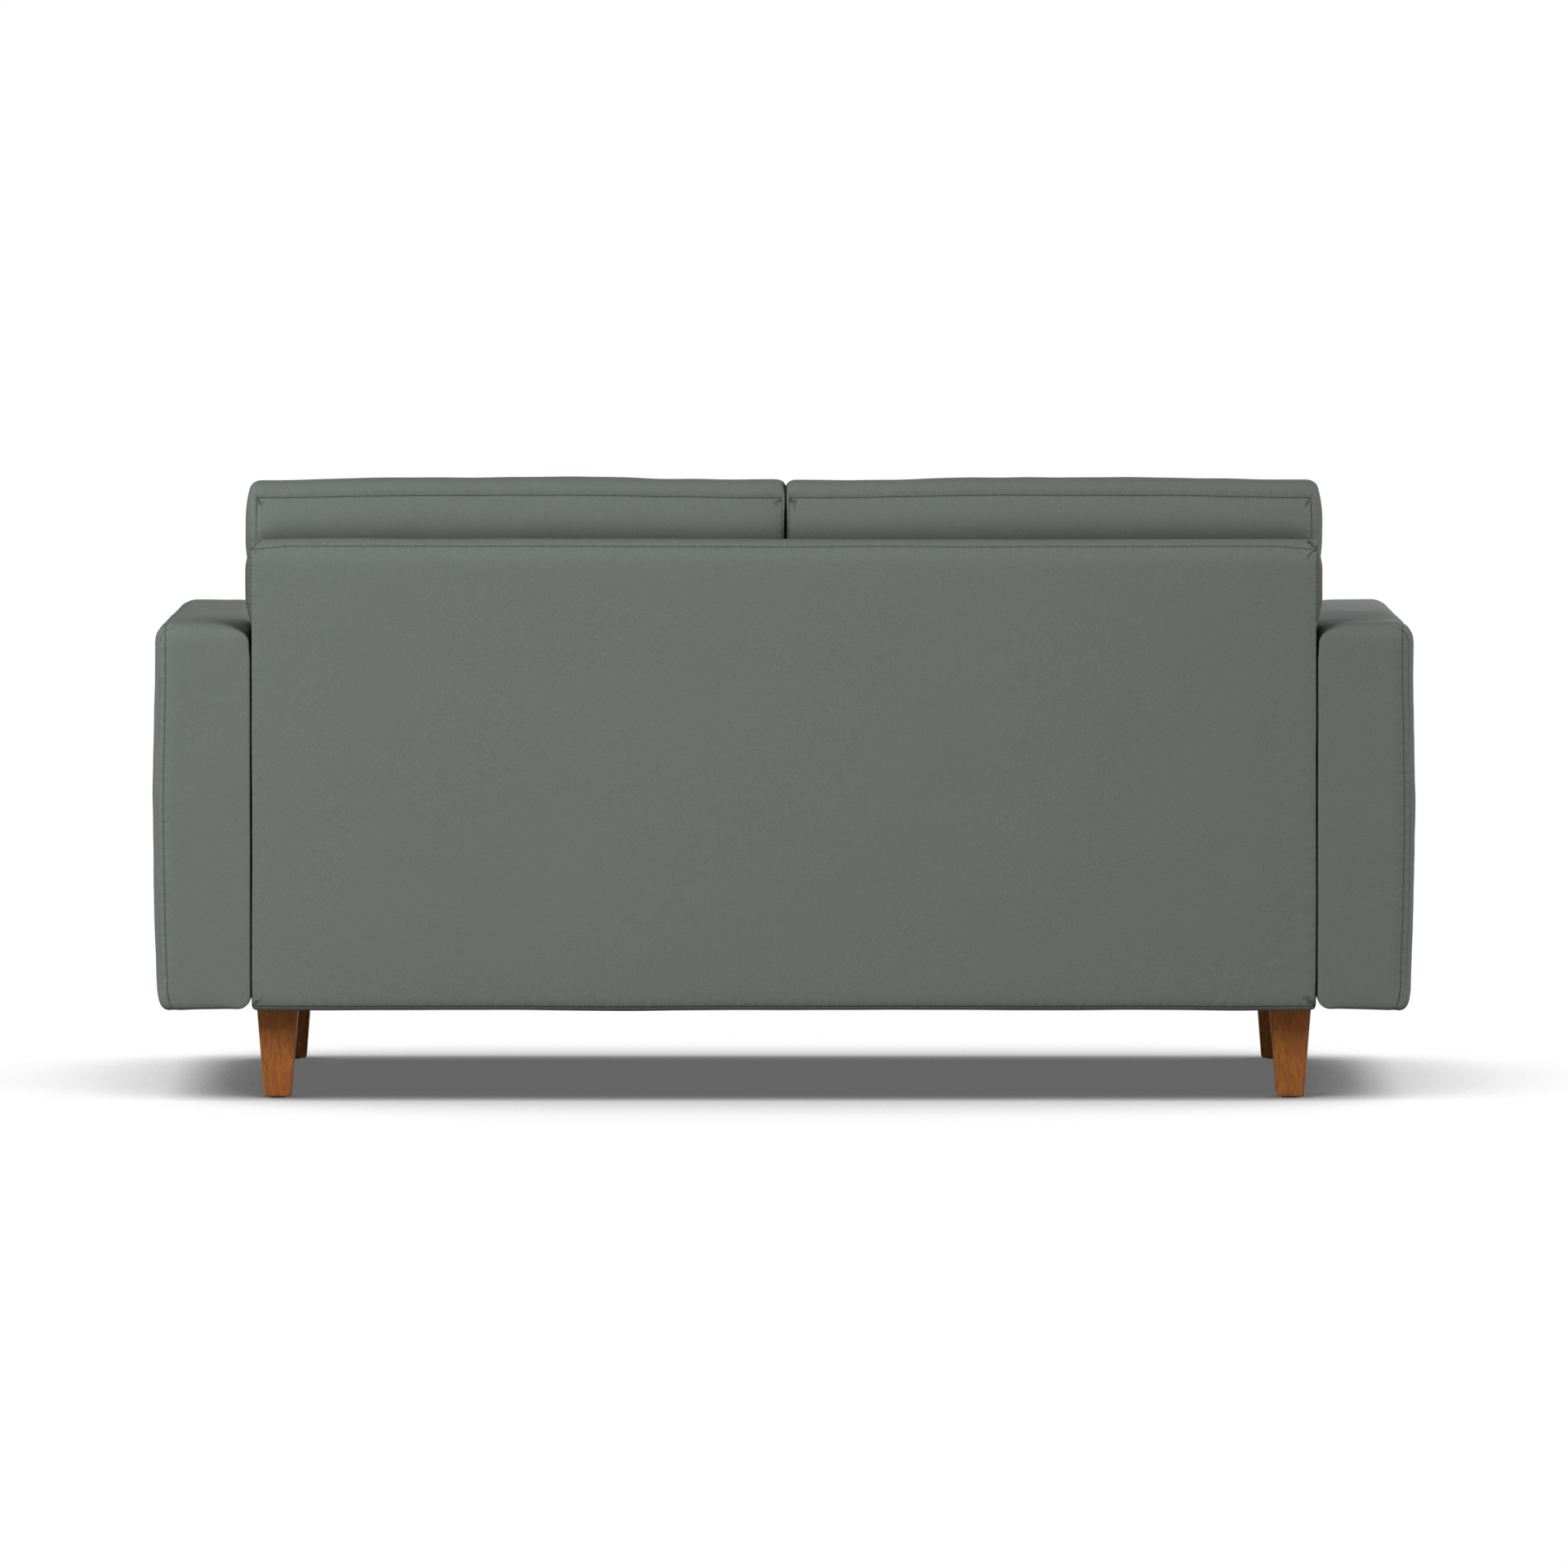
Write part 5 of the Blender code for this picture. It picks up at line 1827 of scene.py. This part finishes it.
@dataclass
class Studio:
    """The white floor, the lamps, the white surround and the camera.

    Attributes:
        camera_distance: from the back of the sofa to the camera.
        camera_height: from the floor to the camera.
        camera_pitch: how far the camera looks down, in degrees.
        view_reach: how far the camera sees.
        scale: pixels a metre at the back of the sofa, on a frame of frame_pixels.
        frame_pixels: how wide that frame is.
        sensor: how wide the camera's sensor is, in millimetres.
        floor_size: how wide the floor is.
        level: how bright the surround is at eye level.
        overhead: how much that changes overhead.
        lean: how much brighter the surround is towards each axis.
        floor_bounce: how much light the floor throws back at the object.
        floor_least: the floor's brightness where its painted shadow is darkest.
        floor_open: how open the floor is where its painted shadow is darkest, and where it is white.
        shade_reach: how far from the object its painted shadow on the floor is read.
        lamps: the lamps.
    """

    camera_distance: float = 25.0
    camera_height: float = 1.82
    camera_pitch: float = 3.129
    view_reach: float = 400.0
    scale: float = 861.8
    frame_pixels: float = 1920.0
    sensor: float = 36.0
    floor_size: float = 120.0
    level: float = 0.15
    overhead: float = 0.30
    lean: Point = (0.0, 0.35, 0.0)
    floor_bounce: float = 0.45
    floor_least: float = 0.130
    floor_open: Span = (0.24, 0.71)
    shade_reach: float = 1.6
    lamps: tuple[Lamp, ...] = (
        Lamp("key_lamp", (2.4, 4.6, 3.4), (0.0, 0.4, 0.45), 2.4, 225.0),
        Lamp("front_lamp", (-1.2, -6.0, 1.3), (0.0, -0.2, 0.45), 2.5, 220.0),
        Lamp("left_lamp", (5.0, -0.5, 1.6), (0.8, 0.0, 0.45), 1.8, 50.0),
        Lamp("right_lamp", (-5.0, -0.5, 1.6), (-0.8, 0.0, 0.45), 1.8, 110.0),
    )

    def surround(self) -> None:
        """Makes the world light the object, brighter from the rear and overhead, and show white."""
        world = bpy.data.worlds.new("studio_surround")
        bpy.context.scene.world = world
        world.use_nodes = True
        sheet = NodeSheet(world.node_tree)
        heading = sheet.add("TexCoord").outputs["Generated"]
        height = sheet.math("MULTIPLY", sheet.math("ABSOLUTE", sheet.split(heading)[2]), self.overhead)
        leaning = sheet.math("ADD", sheet.vector_math("DOT_PRODUCT", heading, self.lean), self.level)
        light = sheet.math("MAXIMUM", sheet.math("ADD", height, leaning), 0.0)
        colour = sheet.blend(sheet.seen("Camera", "Transmission"), sheet.triple(light), (1, 1, 1, 1))
        sheet.join(colour, world.node_tree.nodes["Background"].inputs["Color"])

    def floor_finish(self) -> bpy.types.Material:
        """The floor's material, which shows white, with the object's shadow painted into its glow by
        ambient occlusion.

        Returns:
            The material.
        """
        made = bpy.data.materials.new("white_floor")
        made.use_nodes = True
        sheet = NodeSheet(made.node_tree)
        shader = made.node_tree.nodes["Principled BSDF"]
        seen = sheet.seen("Camera", "Glossy", "Transmission")
        # Painted shadow: to the camera the floor glows white, and grey where ambient occlusion finds the
        # object near, in place of a shadow cast by the lamps.
        open_sky = sheet.openness(self.shade_reach)
        grey = sheet.triple(sheet.ramp(open_sky, *self.floor_open, self.floor_least, 1.0, Turn.EVEN))
        bounce = tinted((1.0, 1.0, 1.0), self.floor_bounce)
        sheet.join(sheet.blend(seen, bounce, (0, 0, 0, 1)), shader.inputs["Base Color"])
        sheet.join(sheet.blend(seen, (0, 0, 0, 1), grey), shader.inputs["Emission Color"])
        preset(shader, Emission_Strength=1.0, Roughness=1.0, Specular_IOR_Level=0.0)
        return made

    def floor(self) -> None:
        """Adds the floor."""
        half = self.floor_size / 2
        points = np.array([(-half, -half, 0), (half, -half, 0), (half, half, 0), (-half, half, 0)])
        make_piece("studio_floor", points, np.array([[0, 1, 2, 3]]), self.floor_finish())

    def camera(self) -> None:
        """Adds the camera, far behind the sofa and a little above it."""
        rear = box_of("back_cover")[1][1]
        data = bpy.data.cameras.new("photo_camera")
        data.sensor_width = self.sensor
        data.lens = self.scale * self.camera_distance * self.sensor / self.frame_pixels
        data.clip_end = self.view_reach
        camera = bpy.data.objects.new("photo_camera", data)
        camera.location = (0, rear + self.camera_distance, self.camera_height)
        camera.rotation_euler = (math.pi / 2 - math.radians(self.camera_pitch), 0, math.pi)
        bpy.context.scene.collection.objects.link(camera)
        bpy.context.scene.camera = camera

    def build(self) -> None:
        """Sets the whole studio up."""
        bpy.context.scene.view_settings.view_transform = "Standard"
        self.surround()
        self.floor()
        for lamp in self.lamps:
            lamp.hang()
        self.camera()


# the whole sofa bed


def cushions() -> list[Cushion]:
    """The two seat cushions and the two back cushions.

    Returns:
        The cushions, the left pair first.
    """
    made: list[Cushion] = []
    for index, side in enumerate(Side):
        word = side.word
        made.append(SeatCushion(f"seat_cushion_{word}", side, Axis.Z, f"seat_pad_{word}", 2 + index))
        made.append(BackCushion(f"back_cushion_{word}", side, Axis.Y, f"back_pad_{word}", 4 + index))
    return made


def main() -> None:
    """Builds each sub-assembly in order and reports its pieces."""
    logging.basicConfig(level=logging.INFO, format="%(message)s")
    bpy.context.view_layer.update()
    Studio().build()
    arms = [Arm(side) for side in Side]
    mattresses = [Mattress(word) for word in ("head", "middle", "foot")]
    legs = [Leg(side, end) for side in Side for end in ("front", "rear")]
    for builder in [*arms, Back(), FrontRail(), *cushions(), *mattresses, *legs]:
        piece = builder.build()
        LOG.info("%s: %d faces", piece.name, len(piece.data.polygons))
    LOG.info("rigid nodes dressed: %d", HardParts().dress())


if __name__ == "__main__":
    main()
